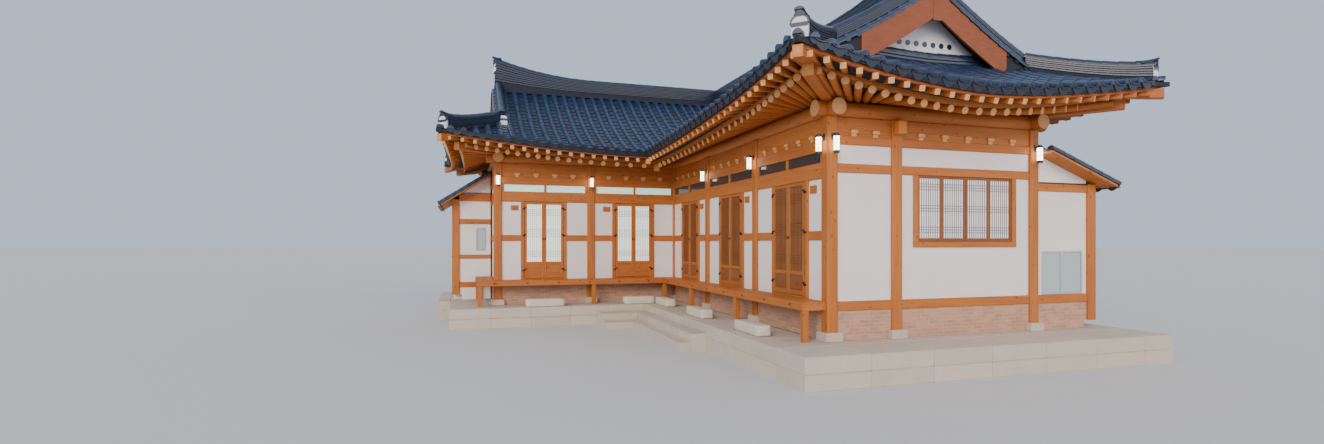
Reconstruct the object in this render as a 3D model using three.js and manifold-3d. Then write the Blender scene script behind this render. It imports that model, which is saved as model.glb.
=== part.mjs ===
// A hanok house: two wings in an L round a courtyard corner, timber frame with plaster walls,
// a brick base, a narrow porch deck, paired doors, and a hip-and-gable tiled roof.
// X runs along the gable end, Y along the right wing into the depth, Z up.
// The origin lies under the near corner post, on the lowest ground.
import * as THREE from "three";
import { mergeVertices } from "three/addons/utils/BufferGeometryUtils.js";
import Module from "manifold-3d";

const wasm = await Module();
wasm.setup();

// Driving dimensions in millimetres; heights count from the posts' feet unless they say otherwise
const FOOT_HEIGHT = 670; // posts' feet above the lowest ground
const GAP = 0.3; // between pieces that touch
const FIELD_GAP = 2; // between a plaster field and the posts beside it
const POST = 210;
const HALF_POST = POST / 2;
const WING_DEPTH = 4500;
const BAY = 2750;
const INNER_Y = 3 * BAY; // the left wing's courtyard posts
const LEFT_BAY = 2575;
const LEFT_X = -2 * LEFT_BAY;
const REAR_Y = INNER_Y + WING_DEPTH;
const GABLE_POST_X = 1330;
const RIGHT_LEAN_X = 6000;
const RIGHT_LEAN_Y = 2 * BAY;
const LEFT_LEAN_X = -6260;
const LEFT_LEAN_Y = 10300;

// Heights
const STYLOBATE_TOP = -150;
const RISER = (FOOT_HEIGHT + STYLOBATE_TOP) / 3;
const SILL_LOW = 367;
const SILL_TOP = 533;
const DOOR_HEAD = 2680;
const LINTEL_TOP = 2960;
const TIE_LOW = 3150;
const TIE_TOP = 3360;
const BLOCK_TOP = 3460;
const GABLE_HEAD_LOW = 2775;
const GABLE_HEAD_TOP = 2930;
const GABLE_TIE_LOW = 3260;
const GABLE_TIE_TOP = 3410;
const GABLE_BLOCK_TOP = 3520;
const PURLIN_RADIUS = 146;
const PURLIN_Z = 3870;
const PURLIN_SIDES = 8;
const PURLIN_FLAT = PURLIN_RADIUS * Math.cos(Math.PI / PURLIN_SIDES);
const PLATE_TOP = PURLIN_Z - PURLIN_FLAT - GAP;
const RIDGE_SURFACE = 6300;

// Depths inwards from the posts' outer side
const BEAM_FACE = 25;
const BEAM_BACK = 155;
const PLASTER_FACE = 55;
const BRICK_FACE = 45;
const LINING_FACE = POST + GAP;
const LINING_BACK = 260;

// Doors
const RIGHT_PAIR = 1210;
const LEFT_PAIR = 1070;
const JAMB = 95;
const DOOR_OFFSET = 1292; // right wing, from the near post of each bay
const LEFT_DOORS = [-3900, -1320];
const LEAF_THICK = 45;
const LEAF_FACE = 12;
const LEAF_LOW = 570;
const LEAF_TOP = DOOR_HEAD - 8;
const EDGE_GAP = 5;
const HINGE_OUT = -4;
const HINGE_HEIGHTS = [800, 1760, 2500];
const HINGE_HALF = 34;

const material = (color, roughness = 0.8, metalness = 0) =>
  new THREE.MeshStandardMaterial({ color, roughness, metalness });
const TIMBER = material(0xb5712f, 0.7);
const DOOR_WOOD = material(0x8a4f22, 0.65);
const PLASTER = material(0xe6e0e6, 0.95);
const BRICK = material(0xc79877, 0.9);
const GRANITE = material(0xb9b4a8, 0.85);
const TILE = material(0x4a5666, 0.5);
const TILE_RIDGE = material(0x434d5b, 0.55);
const GLASS = material(0xdde6e2, 0.2);
const LAMP = material(0xf5f1e6, 0.4);
const BARGE = material(0x6f3a20, 0.7);

// Solids

function solidOf(geometry) {
  const bare = geometry.clone();
  bare.deleteAttribute("normal");
  bare.deleteAttribute("uv");
  const merged = mergeVertices(bare, 1e-3);
  return new wasm.Manifold(
    new wasm.Mesh({
      numProp: 3,
      vertProperties: merged.attributes.position.array,
      triVerts: new Uint32Array(merged.index.array),
    }),
  );
}

function block(x0, x1, y0, y1, z0, z1) {
  const box = new THREE.BoxGeometry(x1 - x0, y1 - y0, z1 - z0);
  box.translate((x0 + x1) / 2, (y0 + y1) / 2, (z0 + z1) / 2);
  return solidOf(box);
}

const CRUMB = 0.1;

const join = (solids) => solids.reduce((whole, one) => whole.add(one));
const cut = (solid, tools) => tools.reduce((rest, tool) => rest.subtract(tool), solid);

// The outer body of a joined solid, without the crumbs and sealed gaps that laps can leave
function clean(solid) {
  const bodies = solid.simplify(CRUMB).decompose();
  return bodies.reduce((best, body) => (body.volume() > best.volume() ? body : best));
}

const model = new THREE.Group();
const house = new THREE.Group();
house.position.z = FOOT_HEIGHT;
model.add(house);

function piece(name, solid, look, parent = house) {
  const data = solid.getMesh();
  const positions = new Float32Array(data.numVert * 3);
  for (let i = 0; i < data.numVert; i++) {
    for (let k = 0; k < 3; k++) {
      positions[3 * i + k] = data.vertProperties[data.numProp * i + k];
    }
  }
  const geometry = new THREE.BufferGeometry();
  geometry.setAttribute("position", new THREE.BufferAttribute(positions, 3));
  geometry.setIndex(new THREE.BufferAttribute(new Uint32Array(data.triVerts), 1));
  geometry.computeVertexNormals();
  const mesh = new THREE.Mesh(geometry, look);
  mesh.name = name;
  parent.add(mesh);
  return mesh;
}

// Wall faces: u runs along the wall, d inwards from the posts' outer side

const face = {
  right: (u0, u1, d0, d1, z0, z1) => block(d0 - HALF_POST, d1 - HALF_POST, u0, u1, z0, z1),
  gable: (u0, u1, d0, d1, z0, z1) => block(u0, u1, d0 - HALF_POST, d1 - HALF_POST, z0, z1),
  left: (u0, u1, d0, d1, z0, z1) =>
    block(u0, u1, INNER_Y - HALF_POST + d0, INNER_Y - HALF_POST + d1, z0, z1),
  leftEnd: (u0, u1, d0, d1, z0, z1) =>
    block(LEFT_X - HALF_POST + d0, LEFT_X - HALF_POST + d1, u0, u1, z0, z1),
  rear: (u0, u1, d0, d1, z0, z1) =>
    block(u0, u1, REAR_Y + HALF_POST - d1, REAR_Y + HALF_POST - d0, z0, z1),
  back: (u0, u1, d0, d1, z0, z1) =>
    block(WING_DEPTH + HALF_POST - d1, WING_DEPTH + HALF_POST - d0, u0, u1, z0, z1),
  rightLean: (u0, u1, d0, d1, z0, z1) =>
    block(RIGHT_LEAN_X + HALF_POST - d1, RIGHT_LEAN_X + HALF_POST - d0, u0, u1, z0, z1),
  leftLean: (u0, u1, d0, d1, z0, z1) =>
    block(LEFT_LEAN_X - HALF_POST + d0, LEFT_LEAN_X - HALF_POST + d1, u0, u1, z0, z1),
  leftLeanFront: (u0, u1, d0, d1, z0, z1) =>
    block(u0, u1, LEFT_LEAN_Y - HALF_POST + d0, LEFT_LEAN_Y - HALF_POST + d1, z0, z1),
};

const postAt = (wall, u, top = PLATE_TOP) => wall(u - HALF_POST, u + HALF_POST, 0, POST, 0, top);

const BLOCK_SPACING = 500;
const BLOCK_WIDTH = 150;
const TIE_BACK = BEAM_BACK + 30; // tie beams and bearing blocks are deeper than the other beams

const blockCount = (from, to) => Math.round((to - from) / BLOCK_SPACING) - 1;

// Soro blocks between the tie beam and the plate, evenly spaced from post to post
function bearingBlocks(wall, from, to, low, high) {
  const count = blockCount(from, to);
  const blocks = [];
  for (let i = 1; i <= count; i++) {
    const u = from + ((to - from) * i) / (count + 1);
    const half = BLOCK_WIDTH / 2;
    blocks.push(wall(u - half, u + half, BEAM_FACE, TIE_BACK, low - 5, high + 5));
  }
  return blocks;
}

// Spaces between the bearing blocks, for the plaster that fills them
function blockSpaces(from, to) {
  const count = blockCount(from, to);
  const step = (to - from) / (count + 1);
  const spaces = [];
  for (let i = 0; i <= count; i++) {
    const left = i === 0 ? from + HALF_POST : from + i * step + BLOCK_WIDTH / 2;
    const right = i === count ? to - HALF_POST : from + (i + 1) * step - BLOCK_WIDTH / 2;
    spaces.push([left + FIELD_GAP, right - FIELD_GAP]);
  }
  return spaces;
}

const PLATE_HALF = 70;
const plateBeam = (wall, u0, u1, low) =>
  wall(u0, u1, HALF_POST - PLATE_HALF, HALF_POST + PLATE_HALF, low, PLATE_TOP);

// Hinges: a fixed plate and knuckle on the jamb, the leaf's knuckle resting on it

const PLATE = 60;
const KNUCKLE_HALF = 7;
const KNUCKLE_SEAT = 0.5;
const KNUCKLE = [HINGE_OUT - KNUCKLE_HALF, HINGE_OUT + KNUCKLE_HALF];

function between(wall, a, b, ...rest) {
  return wall(Math.min(a, b), Math.max(a, b), ...rest);
}

// side is 1 where the leaf lies towards +u from its hinge, and -1 where it lies towards -u
function fixedHinges(wall, u, side) {
  return HINGE_HEIGHTS.flatMap((z) => {
    const low = z - HINGE_HALF;
    return [
      between(wall, u + side * KNUCKLE_HALF, u - side * PLATE, ...KNUCKLE, low, z),
      between(wall, u, u - side * PLATE, HINGE_OUT, BEAM_FACE + 1, low, z),
    ];
  });
}

function leafHinges(wall, u, side) {
  return HINGE_HEIGHTS.flatMap((z) => {
    const low = z + KNUCKLE_SEAT;
    const high = z + HINGE_HALF;
    return [
      between(wall, u - side * KNUCKLE_HALF, u + side * PLATE, ...KNUCKLE, low, high),
      between(wall, u + side * EDGE_GAP, u + side * PLATE, HINGE_OUT, LEAF_FACE + 1, low, high),
    ];
  });
}

function doorLeaf(wall, u, side, width) {
  const near = u + side * EDGE_GAP;
  const far = u + side * (width - 3);
  const [a, b] = [Math.min(near, far), Math.max(near, far)];
  const STILE = 62;
  const LOW_RAIL = 90;
  const PANEL_TOP = 950;
  const PANE_LOW = 1020;
  const TOP_RAIL = 62;
  const RECESS = 15;
  const leaf = wall(a, b, LEAF_FACE, LEAF_FACE + LEAF_THICK, LEAF_LOW, LEAF_TOP);
  const carved = cut(leaf, [
    wall(a + STILE, b - STILE, LEAF_FACE - 1, LEAF_FACE + RECESS, LEAF_LOW + LOW_RAIL, PANEL_TOP),
    wall(a + STILE, b - STILE, LEAF_FACE - 1, LEAF_FACE + RECESS, PANE_LOW, LEAF_TOP - TOP_RAIL),
  ]);
  return join([carved, ...leafHinges(wall, u, side)]);
}

// Stylobate: granite platform with plinth stones and the corner steps

const EDGE_COURT = -1250;
const EDGE_GABLE = -1300;
const EDGE_LEFT_FRONT = 7300;
const EDGE_BEYOND = 1250;
const PLINTH = 330;
const STEP_START_Y = 2600;
const STEP_START_X = -2570;
const STEP_ONE = { x: -1600, y: 6700 };
const STEP_TWO = { x: -1850, y: 6200 };

const rightPosts = [0, BAY, 2 * BAY, 3 * BAY];
const leftPosts = [-LEFT_BAY, LEFT_X];
const gablePosts = [GABLE_POST_X, WING_DEPTH];
const backPosts = [BAY, 2 * BAY, 3 * BAY, 10500, REAR_Y];
const rearPosts = [2250, 0, -LEFT_BAY, LEFT_X];

const feet = [
  ...rightPosts.map((y) => [0, y]),
  ...leftPosts.map((x) => [x, INNER_Y]),
  ...gablePosts.map((x) => [x, 0]),
  ...backPosts.map((y) => [WING_DEPTH, y]),
  ...rearPosts.map((x) => [x, REAR_Y]),
  [LEFT_X, 10500],
  [RIGHT_LEAN_X, 0],
  [RIGHT_LEAN_X, BAY],
  [RIGHT_LEAN_X, RIGHT_LEAN_Y],
  [LEFT_LEAN_X, LEFT_LEAN_Y],
  [LEFT_LEAN_X, REAR_Y],
];

const plinthStones = (half, low, high) =>
  join(feet.map(([x, y]) => block(x - half, x + half, y - half, y + half, low, high)));

function makeStylobate() {
  const low = -FOOT_HEIGHT;
  const top = STYLOBATE_TOP;
  return join([
    block(EDGE_COURT, WING_DEPTH + EDGE_BEYOND, EDGE_GABLE, REAR_Y + EDGE_BEYOND, low, top),
    block(LEFT_X - EDGE_BEYOND, 0, EDGE_LEFT_FRONT, REAR_Y + EDGE_BEYOND, low, top),
    block(0, RIGHT_LEAN_X + 500, EDGE_GABLE, RIGHT_LEAN_Y + 500, low, top),
    block(LEFT_LEAN_X - 500, 0, LEFT_LEAN_Y - 500, REAR_Y + 500, low, top),
    block(STEP_ONE.x, 0, STEP_START_Y, EDGE_LEFT_FRONT + 10, low, top - RISER),
    block(STEP_START_X, 0, STEP_ONE.y, EDGE_LEFT_FRONT + 10, low, top - RISER),
    block(STEP_TWO.x, 0, STEP_START_Y, EDGE_LEFT_FRONT + 10, low, top - 2 * RISER),
    block(STEP_START_X, 0, STEP_TWO.y, EDGE_LEFT_FRONT + 10, low, top - 2 * RISER),
    plinthStones(PLINTH / 2, top - 5, -GAP),
  ]);
}

piece("stylobate", makeStylobate(), GRANITE);

// Step stones on the stylobate, in front of the deck: [x0, x1, y0, y1, top]
const STONE_TOP = 50;
const stepStones = [
  [-1000, -720, 750, 1850, STYLOBATE_TOP + GAP],
  [-1000, -720, 3500, 4600, STYLOBATE_TOP + GAP],
  [-950, -670, 6200, 7250, STYLOBATE_TOP + GAP],
  [-1800, -900, 7330, 7610, STYLOBATE_TOP + GAP],
  [-4480, -3440, 7330, 7610, STYLOBATE_TOP + GAP],
];
stepStones.forEach(([x0, x1, y0, y1, low], i) => {
  piece("step_stone_" + (i + 1), block(x0, x1, y0, y1, low, STONE_TOP), GRANITE);
});

// Brick base and floor

const insideRight = { x0: -HALF_POST + LINING_FACE, x1: WING_DEPTH + HALF_POST - LINING_FACE };
const insideY = { y0: -HALF_POST + LINING_FACE, y1: REAR_Y + HALF_POST - LINING_FACE };

// A continuous lining behind the posts, as a ring round both wings
function liningRing(low, high) {
  const back = LINING_BACK - LINING_FACE;
  const yFront = INNER_Y - HALF_POST + LINING_FACE;
  const xLeft = LEFT_X - HALF_POST + LINING_FACE;
  return join([
    block(insideRight.x0, insideRight.x0 + back, insideY.y0, yFront + back, low, high),
    block(insideRight.x0, insideRight.x1, insideY.y0, insideY.y0 + back, low, high),
    block(insideRight.x1 - back, insideRight.x1, insideY.y0, insideY.y1, low, high),
    block(xLeft, insideRight.x1, insideY.y1 - back, insideY.y1, low, high),
    block(xLeft, xLeft + back, yFront, insideY.y1, low, high),
    block(xLeft, insideRight.x0 + back, yFront, yFront + back, low, high),
  ]);
}

// Fields between consecutive posts on one wall
function fieldsBetween(wall, posts, depth, low, high) {
  const sorted = [...posts].sort((p, q) => p - q);
  const fields = [];
  for (let i = 0; i + 1 < sorted.length; i++) {
    const u0 = sorted[i] + HALF_POST + FIELD_GAP;
    const u1 = sorted[i + 1] - HALF_POST - FIELD_GAP;
    fields.push(wall(u0, u1, depth, LINING_FACE + 1, low, high));
  }
  return fields;
}

const wallPosts = {
  right: rightPosts,
  gable: [0, ...gablePosts],
  left: [0, ...leftPosts],
  leftEnd: [INNER_Y, 10500, REAR_Y],
  rear: [WING_DEPTH, ...rearPosts],
  back: [0, ...backPosts],
};

function makeBrickBase() {
  const low = STYLOBATE_TOP + GAP;
  const high = SILL_LOW - GAP;
  const parts = [liningRing(low, high)];
  for (const [name, posts] of Object.entries(wallPosts)) {
    parts.push(...fieldsBetween(face[name], posts, BRICK_FACE, low, high));
  }
  parts.push(liningRing(SILL_LOW - 5, SILL_LOW + 5 - GAP));
  const y0 = HALF_POST;
  parts.push(
    block(WING_DEPTH + 30, RIGHT_LEAN_X + 30, y0, y0 + 50, low, high),
    block(WING_DEPTH + HALF_POST + GAP, RIGHT_LEAN_X - HALF_POST, BRICK_FACE - HALF_POST, y0 + 1, low, high),
    block(RIGHT_LEAN_X - y0 - 50, RIGHT_LEAN_X - y0, y0, RIGHT_LEAN_Y - y0, low, high),
    block(WING_DEPTH + 30, RIGHT_LEAN_X - y0, RIGHT_LEAN_Y - y0 - 50, RIGHT_LEAN_Y - y0, low, high),
  );
  return cut(join(parts), [plinthStones(PLINTH / 2 + GAP, low - 5, 0)]);
}

function makeFloor() {
  const low = SILL_LOW + 5;
  const yFront = INNER_Y - HALF_POST + LINING_FACE;
  const xLeft = LEFT_X - HALF_POST + LINING_FACE;
  return join([
    block(insideRight.x0, insideRight.x1, insideY.y0, insideY.y1, low, SILL_TOP),
    block(xLeft, insideRight.x0 + 10, yFront, insideY.y1, low, SILL_TOP),
  ]);
}

piece("brick_base", makeBrickBase(), BRICK);
piece("floor", makeFloor(), DOOR_WOOD);

// Porch deck along both courtyard walls and round the left end

const DECK_EDGE_X = -555;
const DECK_EDGE_Y = INNER_Y - 555;
const DECK_END_X = -5700;
const DECK_END_Y = LEFT_LEAN_Y - HALF_POST - GAP;
const DECK_START_Y = -50;
const DECK_THICK = 35;
const DECK_BEAM_LOW = 388;
const DECK_BEAM = 70;
const WALL_X = -HALF_POST - GAP;
const WALL_Y = INNER_Y - HALF_POST - GAP;
const LEFT_WALL_X = LEFT_X - HALF_POST - GAP;

piece(
  "porch_deck",
  join([
    block(DECK_EDGE_X, WALL_X, DECK_START_Y, WALL_Y, SILL_TOP - DECK_THICK, SILL_TOP),
    block(DECK_END_X, WALL_X, DECK_EDGE_Y, WALL_Y, SILL_TOP - DECK_THICK, SILL_TOP),
    block(DECK_END_X, LEFT_WALL_X, DECK_EDGE_Y, DECK_END_Y, SILL_TOP - DECK_THICK, SILL_TOP),
  ]),
  TIMBER,
);

function makePorchFrame() {
  const LEG = 110;
  const INSET = 12;
  const low = DECK_BEAM_LOW;
  const high = SILL_TOP - DECK_THICK - GAP;
  const x = DECK_EDGE_X + INSET;
  const y = DECK_EDGE_Y + INSET;
  const endX = DECK_END_X + INSET;
  const slab = join([
    block(x, WALL_X, DECK_START_Y, WALL_Y, low, high),
    block(endX, WALL_X, y, WALL_Y, low, high),
    block(endX, LEFT_WALL_X, y, DECK_END_Y, low, high),
  ]);
  const pocket = (x0, x1, y0, y1) =>
    block(x0 + DECK_BEAM, x1 - DECK_BEAM, y0 + DECK_BEAM, y1 - DECK_BEAM, low - 1, high + 1);
  const joistsY = [DECK_START_Y, BAY, 2 * BAY, y];
  const joistsX = [-LEFT_BAY, -500];
  const pockets = [
    ...joistsY.slice(1).map((q, k) => pocket(x, WALL_X, joistsY[k], q)),
    pocket(LEFT_WALL_X, joistsX[0], y, WALL_Y),
    pocket(joistsX[0], joistsX[1], y, WALL_Y),
    pocket(endX, LEFT_WALL_X, y, DECK_END_Y),
  ];
  const leg = (cx, cy) =>
    block(cx - LEG / 2, cx + LEG / 2, cy - LEG / 2, cy + LEG / 2, STYLOBATE_TOP + GAP, low + 5);
  const legInset = LEG / 2 + 4;
  const legs = [
    ...joistsY.slice(0, 3).map((q) => leg(x + legInset, q + legInset)),
    ...[...joistsX, endX + legInset].map((q) => leg(q, y + legInset)),
    leg(endX + legInset, DECK_END_Y - legInset),
  ];
  return join([cut(slab, pockets), ...legs]);
}

piece("porch_frame", makePorchFrame(), TIMBER);

// Timber frames

const WINDOW = { u0: 1700, u1: 4070, low: 1470, high: GABLE_HEAD_LOW };
const RAIL_LOW = 1600;
const RAIL_TOP = 1760;

function beam(wall, u0, u1, low, high, back = BEAM_BACK) {
  return wall(u0, u1, BEAM_FACE, back, low, high);
}

// A courtyard bay with a paired door between two posts
function doorBay(wall, from, to, door, pair) {
  const a = from + HALF_POST - 5;
  const b = to - HALF_POST + 5;
  const left = door - pair / 2;
  const right = door + pair / 2;
  const middle = (from + to) / 2;
  return [
    beam(wall, a, b, DOOR_HEAD, LINTEL_TOP + 1),
    beam(wall, a, b, TIE_LOW, TIE_TOP, TIE_BACK),
    beam(wall, a, a + 65, LINTEL_TOP - 5, TIE_LOW + 5),
    beam(wall, b - 65, b, LINTEL_TOP - 5, TIE_LOW + 5),
    beam(wall, middle - 30, middle + 30, LINTEL_TOP - 5, TIE_LOW + 5),
    beam(wall, left - JAMB, left, SILL_TOP - 5, DOOR_HEAD + 5),
    beam(wall, right, right + JAMB, SILL_TOP - 5, DOOR_HEAD + 5),
    beam(wall, left - 5, right + 5, SILL_TOP - 5, LEAF_LOW - 7),
    beam(wall, a, left - JAMB + 5, RAIL_LOW, RAIL_TOP),
    beam(wall, right + JAMB - 5, b, RAIL_LOW, RAIL_TOP),
    ...fixedHinges(wall, left, 1),
    ...fixedHinges(wall, right, -1),
    ...bearingBlocks(wall, from, to, TIE_TOP, BLOCK_TOP),
  ];
}

const rightDoors = rightPosts.slice(0, 3).map((y) => y + DOOR_OFFSET);

function makeRightFrame() {
  const wall = face.right;
  const start = HALF_POST + GAP;
  const end = INNER_Y + HALF_POST;
  const parts = [
    wall(start, end - 10, BEAM_FACE, POST, SILL_LOW, SILL_TOP),
    plateBeam(wall, start, end - 10, BLOCK_TOP),
  ];
  rightPosts.slice(1).forEach((y) => parts.push(postAt(wall, y)));
  rightDoors.forEach((door, i) => {
    parts.push(...doorBay(wall, rightPosts[i], rightPosts[i + 1], door, RIGHT_PAIR));
  });
  const trim = block(-500, 500, -500, start, -10, PLATE_TOP + 10);
  return cut(join(parts), [trim]);
}

function makeLeftFrame() {
  const wall = face.left;
  const end = -HALF_POST - GAP;
  const parts = [
    wall(LEFT_X, end, BEAM_FACE, POST, SILL_LOW, SILL_TOP),
    plateBeam(wall, LEFT_X, end, BLOCK_TOP),
  ];
  leftPosts.forEach((x) => parts.push(postAt(wall, x)));
  parts.push(...doorBay(wall, LEFT_X, -LEFT_BAY, LEFT_DOORS[0], LEFT_PAIR));
  parts.push(...doorBay(wall, -LEFT_BAY, 0, LEFT_DOORS[1], LEFT_PAIR));
  const trim = block(end, 500, INNER_Y - 500, INNER_Y + 500, -10, PLATE_TOP + 10);
  return cut(join(parts), [trim]);
}

function gableBay(wall, from, to) {
  const a = from + HALF_POST - 5;
  const b = to - HALF_POST + 5;
  return [
    beam(wall, a, b, GABLE_HEAD_LOW, GABLE_HEAD_TOP),
    beam(wall, a, b, GABLE_TIE_LOW, GABLE_TIE_TOP, TIE_BACK),
    ...bearingBlocks(wall, from, to, GABLE_TIE_TOP, GABLE_BLOCK_TOP),
  ];
}

const FRAME_BAR = 100;

function makeGableFrame() {
  const wall = face.gable;
  const { u0, u1, low } = WINDOW;
  return join([
    wall(0, WING_DEPTH, BEAM_FACE, POST, SILL_LOW, SILL_TOP),
    plateBeam(wall, 0, WING_DEPTH, GABLE_BLOCK_TOP),
    ...wallPosts.gable.map((x) => postAt(wall, x)),
    ...gableBay(wall, 0, GABLE_POST_X),
    ...gableBay(wall, GABLE_POST_X, WING_DEPTH),
    beam(wall, u0, u1, low, low + FRAME_BAR),
    beam(wall, u0, u0 + FRAME_BAR, low, GABLE_HEAD_LOW + 5),
    beam(wall, u1 - FRAME_BAR, u1, low, GABLE_HEAD_LOW + 5),
  ]);
}

// Hidden sides: the same sill, mid rail, head, tie and plate on every bay
function plainWall(wall, posts) {
  const sorted = [...posts].sort((p, q) => p - q);
  const parts = [
    wall(sorted[0], sorted.at(-1), BEAM_FACE, POST, SILL_LOW, SILL_TOP),
    plateBeam(wall, sorted[0], sorted.at(-1), TIE_TOP - 5),
  ];
  for (let i = 0; i + 1 < sorted.length; i++) {
    const a = sorted[i] + HALF_POST - 5;
    const b = sorted[i + 1] - HALF_POST + 5;
    parts.push(beam(wall, a, b, RAIL_LOW, RAIL_TOP));
    parts.push(beam(wall, a, b, DOOR_HEAD, LINTEL_TOP));
    parts.push(beam(wall, a, b, TIE_LOW, TIE_TOP, TIE_BACK));
  }
  return parts;
}

function makeRearFrame() {
  const trims = [
    block(LEFT_X - 500, LEFT_X + 500, INNER_Y - 500, INNER_Y + HALF_POST + GAP, -10, 4000),
    block(WING_DEPTH - 500, WING_DEPTH + 500, -500, HALF_POST + GAP, -10, 4000),
  ];
  const parts = [
    ...plainWall(face.leftEnd, wallPosts.leftEnd),
    ...plainWall(face.rear, wallPosts.rear),
    ...plainWall(face.back, wallPosts.back),
    postAt(face.leftEnd, 10500),
    ...wallPosts.rear.map((x) => postAt(face.rear, x)),
    ...backPosts.slice(0, -1).map((y) => postAt(face.back, y)),
  ];
  return cut(join(parts), trims);
}

piece("courtyard_frame_right", makeRightFrame(), TIMBER);
piece("courtyard_frame_left", makeLeftFrame(), TIMBER);
piece("gable_frame", makeGableFrame(), TIMBER);
piece("rear_frame", makeRearFrame(), TIMBER);

// Plaster walls: a lining behind the posts and fields that fill the frame's openings

const WALL_LOW = SILL_TOP + GAP;
const OVER_LOW = LINTEL_TOP + 1 + GAP;
const LINING_START = 6;
const LINING_LAP = 1.5; // keeps a corner's lining off its neighbour's fields

function field(wall, u0, u1, low, high) {
  return wall(u0 + FIELD_GAP, u1 - FIELD_GAP, PLASTER_FACE, LINING_FACE + 1, low + GAP, high - GAP);
}

const lining = (wall, u0, u1, low, high) => wall(u0, u1, LINING_FACE, LINING_BACK, low, high);

// Beside the doors: from the right edge of one door frame to the left edge of the next
function sideFields(wall, from, to) {
  return [
    field(wall, from, to, SILL_TOP, RAIL_LOW),
    field(wall, from, to, RAIL_TOP, DOOR_HEAD),
  ];
}

function wallBeside(wall, from, to, posts) {
  const parts = [lining(wall, from, to, WALL_LOW, LINTEL_TOP)];
  let start = from;
  for (const u of posts) {
    parts.push(...sideFields(wall, start, u - HALF_POST));
    start = u + HALF_POST;
  }
  parts.push(...sideFields(wall, start, to));
  return parts;
}

const rightEdge = (i, side) => rightDoors[i] + side * (RIGHT_PAIR / 2 + JAMB);
const leftEdge = (i, side) => LEFT_DOORS[i] + side * (LEFT_PAIR / 2 + JAMB);

const cornerLining = LINING_BACK - HALF_POST + GAP;
const xLeftLining = LEFT_X + cornerLining;

piece(
  "courtyard_wall_1",
  join([
    lining(face.right, cornerLining, rightEdge(0, -1), WALL_LOW, LINTEL_TOP),
    ...sideFields(face.right, HALF_POST, rightEdge(0, -1)),
  ]),
  PLASTER,
);
piece(
  "courtyard_wall_2",
  join(wallBeside(face.right, rightEdge(0, 1), rightEdge(1, -1), [BAY])),
  PLASTER,
);
piece(
  "courtyard_wall_3",
  join(wallBeside(face.right, rightEdge(1, 1), rightEdge(2, -1), [2 * BAY])),
  PLASTER,
);

const insideCorner = LINING_BACK - HALF_POST;
piece(
  "courtyard_wall_corner",
  join([
    lining(face.right, rightEdge(2, 1), INNER_Y + insideCorner, WALL_LOW, LINTEL_TOP),
    lining(face.left, leftEdge(1, 1), insideCorner, WALL_LOW, LINTEL_TOP),
    ...sideFields(face.right, rightEdge(2, 1), INNER_Y - HALF_POST),
    ...sideFields(face.left, leftEdge(1, 1), -HALF_POST),
  ]),
  PLASTER,
);
piece(
  "courtyard_wall_5",
  join(wallBeside(face.left, leftEdge(0, 1), leftEdge(1, -1), [-LEFT_BAY])),
  PLASTER,
);
piece(
  "courtyard_wall_6",
  join([
    lining(face.left, xLeftLining, leftEdge(0, -1), WALL_LOW, LINTEL_TOP),
    ...sideFields(face.left, LEFT_X + HALF_POST, leftEdge(0, -1)),
  ]),
  PLASTER,
);

// Over the doors: one lining round the inner corner, with plaster between the bearing blocks
function overFields(wall, from, to) {
  return blockSpaces(from, to).map(([u0, u1]) =>
    wall(u0, u1, PLASTER_FACE + 5, LINING_FACE + 1, TIE_TOP + GAP, BLOCK_TOP - GAP),
  );
}

function makeOverWall() {
  const parts = [
    lining(face.right, cornerLining, INNER_Y + insideCorner, TIE_LOW, PLATE_TOP),
    lining(face.left, xLeftLining, insideCorner, TIE_LOW, PLATE_TOP),
    ...overFields(face.left, LEFT_X, -LEFT_BAY),
    ...overFields(face.left, -LEFT_BAY, 0),
  ];
  for (let i = 0; i < 3; i++) {
    parts.push(...overFields(face.right, rightPosts[i], rightPosts[i + 1]));
  }
  return join(parts);
}

// Transom panes: one sheet behind the posts, brought forward to each pane's place
const PANE_FACE = 60;
const STUB = 65;
const STUB_HALF = 30;

function transomPanes(wall, from, to) {
  const middle = (from + to) / 2;
  const low = OVER_LOW;
  const high = TIE_LOW - GAP;
  const start = from + HALF_POST - 5 + STUB;
  const end = to - HALF_POST + 5 - STUB;
  return [
    wall(start + GAP, middle - STUB_HALF - GAP, PANE_FACE, LINING_FACE + 1, low, high),
    wall(middle + STUB_HALF + GAP, end - GAP, PANE_FACE, LINING_FACE + 1, low, high),
  ];
}

const PANE_SHEET = 15;
const transomSheet = (wall, u0, u1) =>
  wall(u0, u1, LINING_FACE, LINING_FACE + PANE_SHEET, OVER_LOW, TIE_LOW - GAP);

piece("courtyard_wall_over", makeOverWall(), PLASTER);
piece(
  "transom_panes_right",
  join([
    transomSheet(face.right, cornerLining, INNER_Y - HALF_POST),
    ...[0, 1, 2].flatMap((i) => transomPanes(face.right, rightPosts[i], rightPosts[i + 1])),
  ]),
  GLASS,
);
piece(
  "transom_panes_left",
  join([
    transomSheet(face.left, xLeftLining, -HALF_POST),
    ...transomPanes(face.left, LEFT_X, -LEFT_BAY),
    ...transomPanes(face.left, -LEFT_BAY, 0),
  ]),
  GLASS,
);

// Gable wall with its window hole
function gableFields(from, to) {
  const wall = face.gable;
  const a = from + HALF_POST;
  const b = to - HALF_POST;
  return [
    field(wall, a, b, SILL_TOP, GABLE_HEAD_LOW),
    field(wall, a, b, GABLE_HEAD_TOP, GABLE_TIE_LOW),
    ...blockSpaces(from, to).map(([u0, u1]) =>
      wall(u0, u1, PLASTER_FACE + 5, LINING_FACE + 1, GABLE_TIE_TOP + GAP, GABLE_BLOCK_TOP - GAP),
    ),
  ];
}

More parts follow.
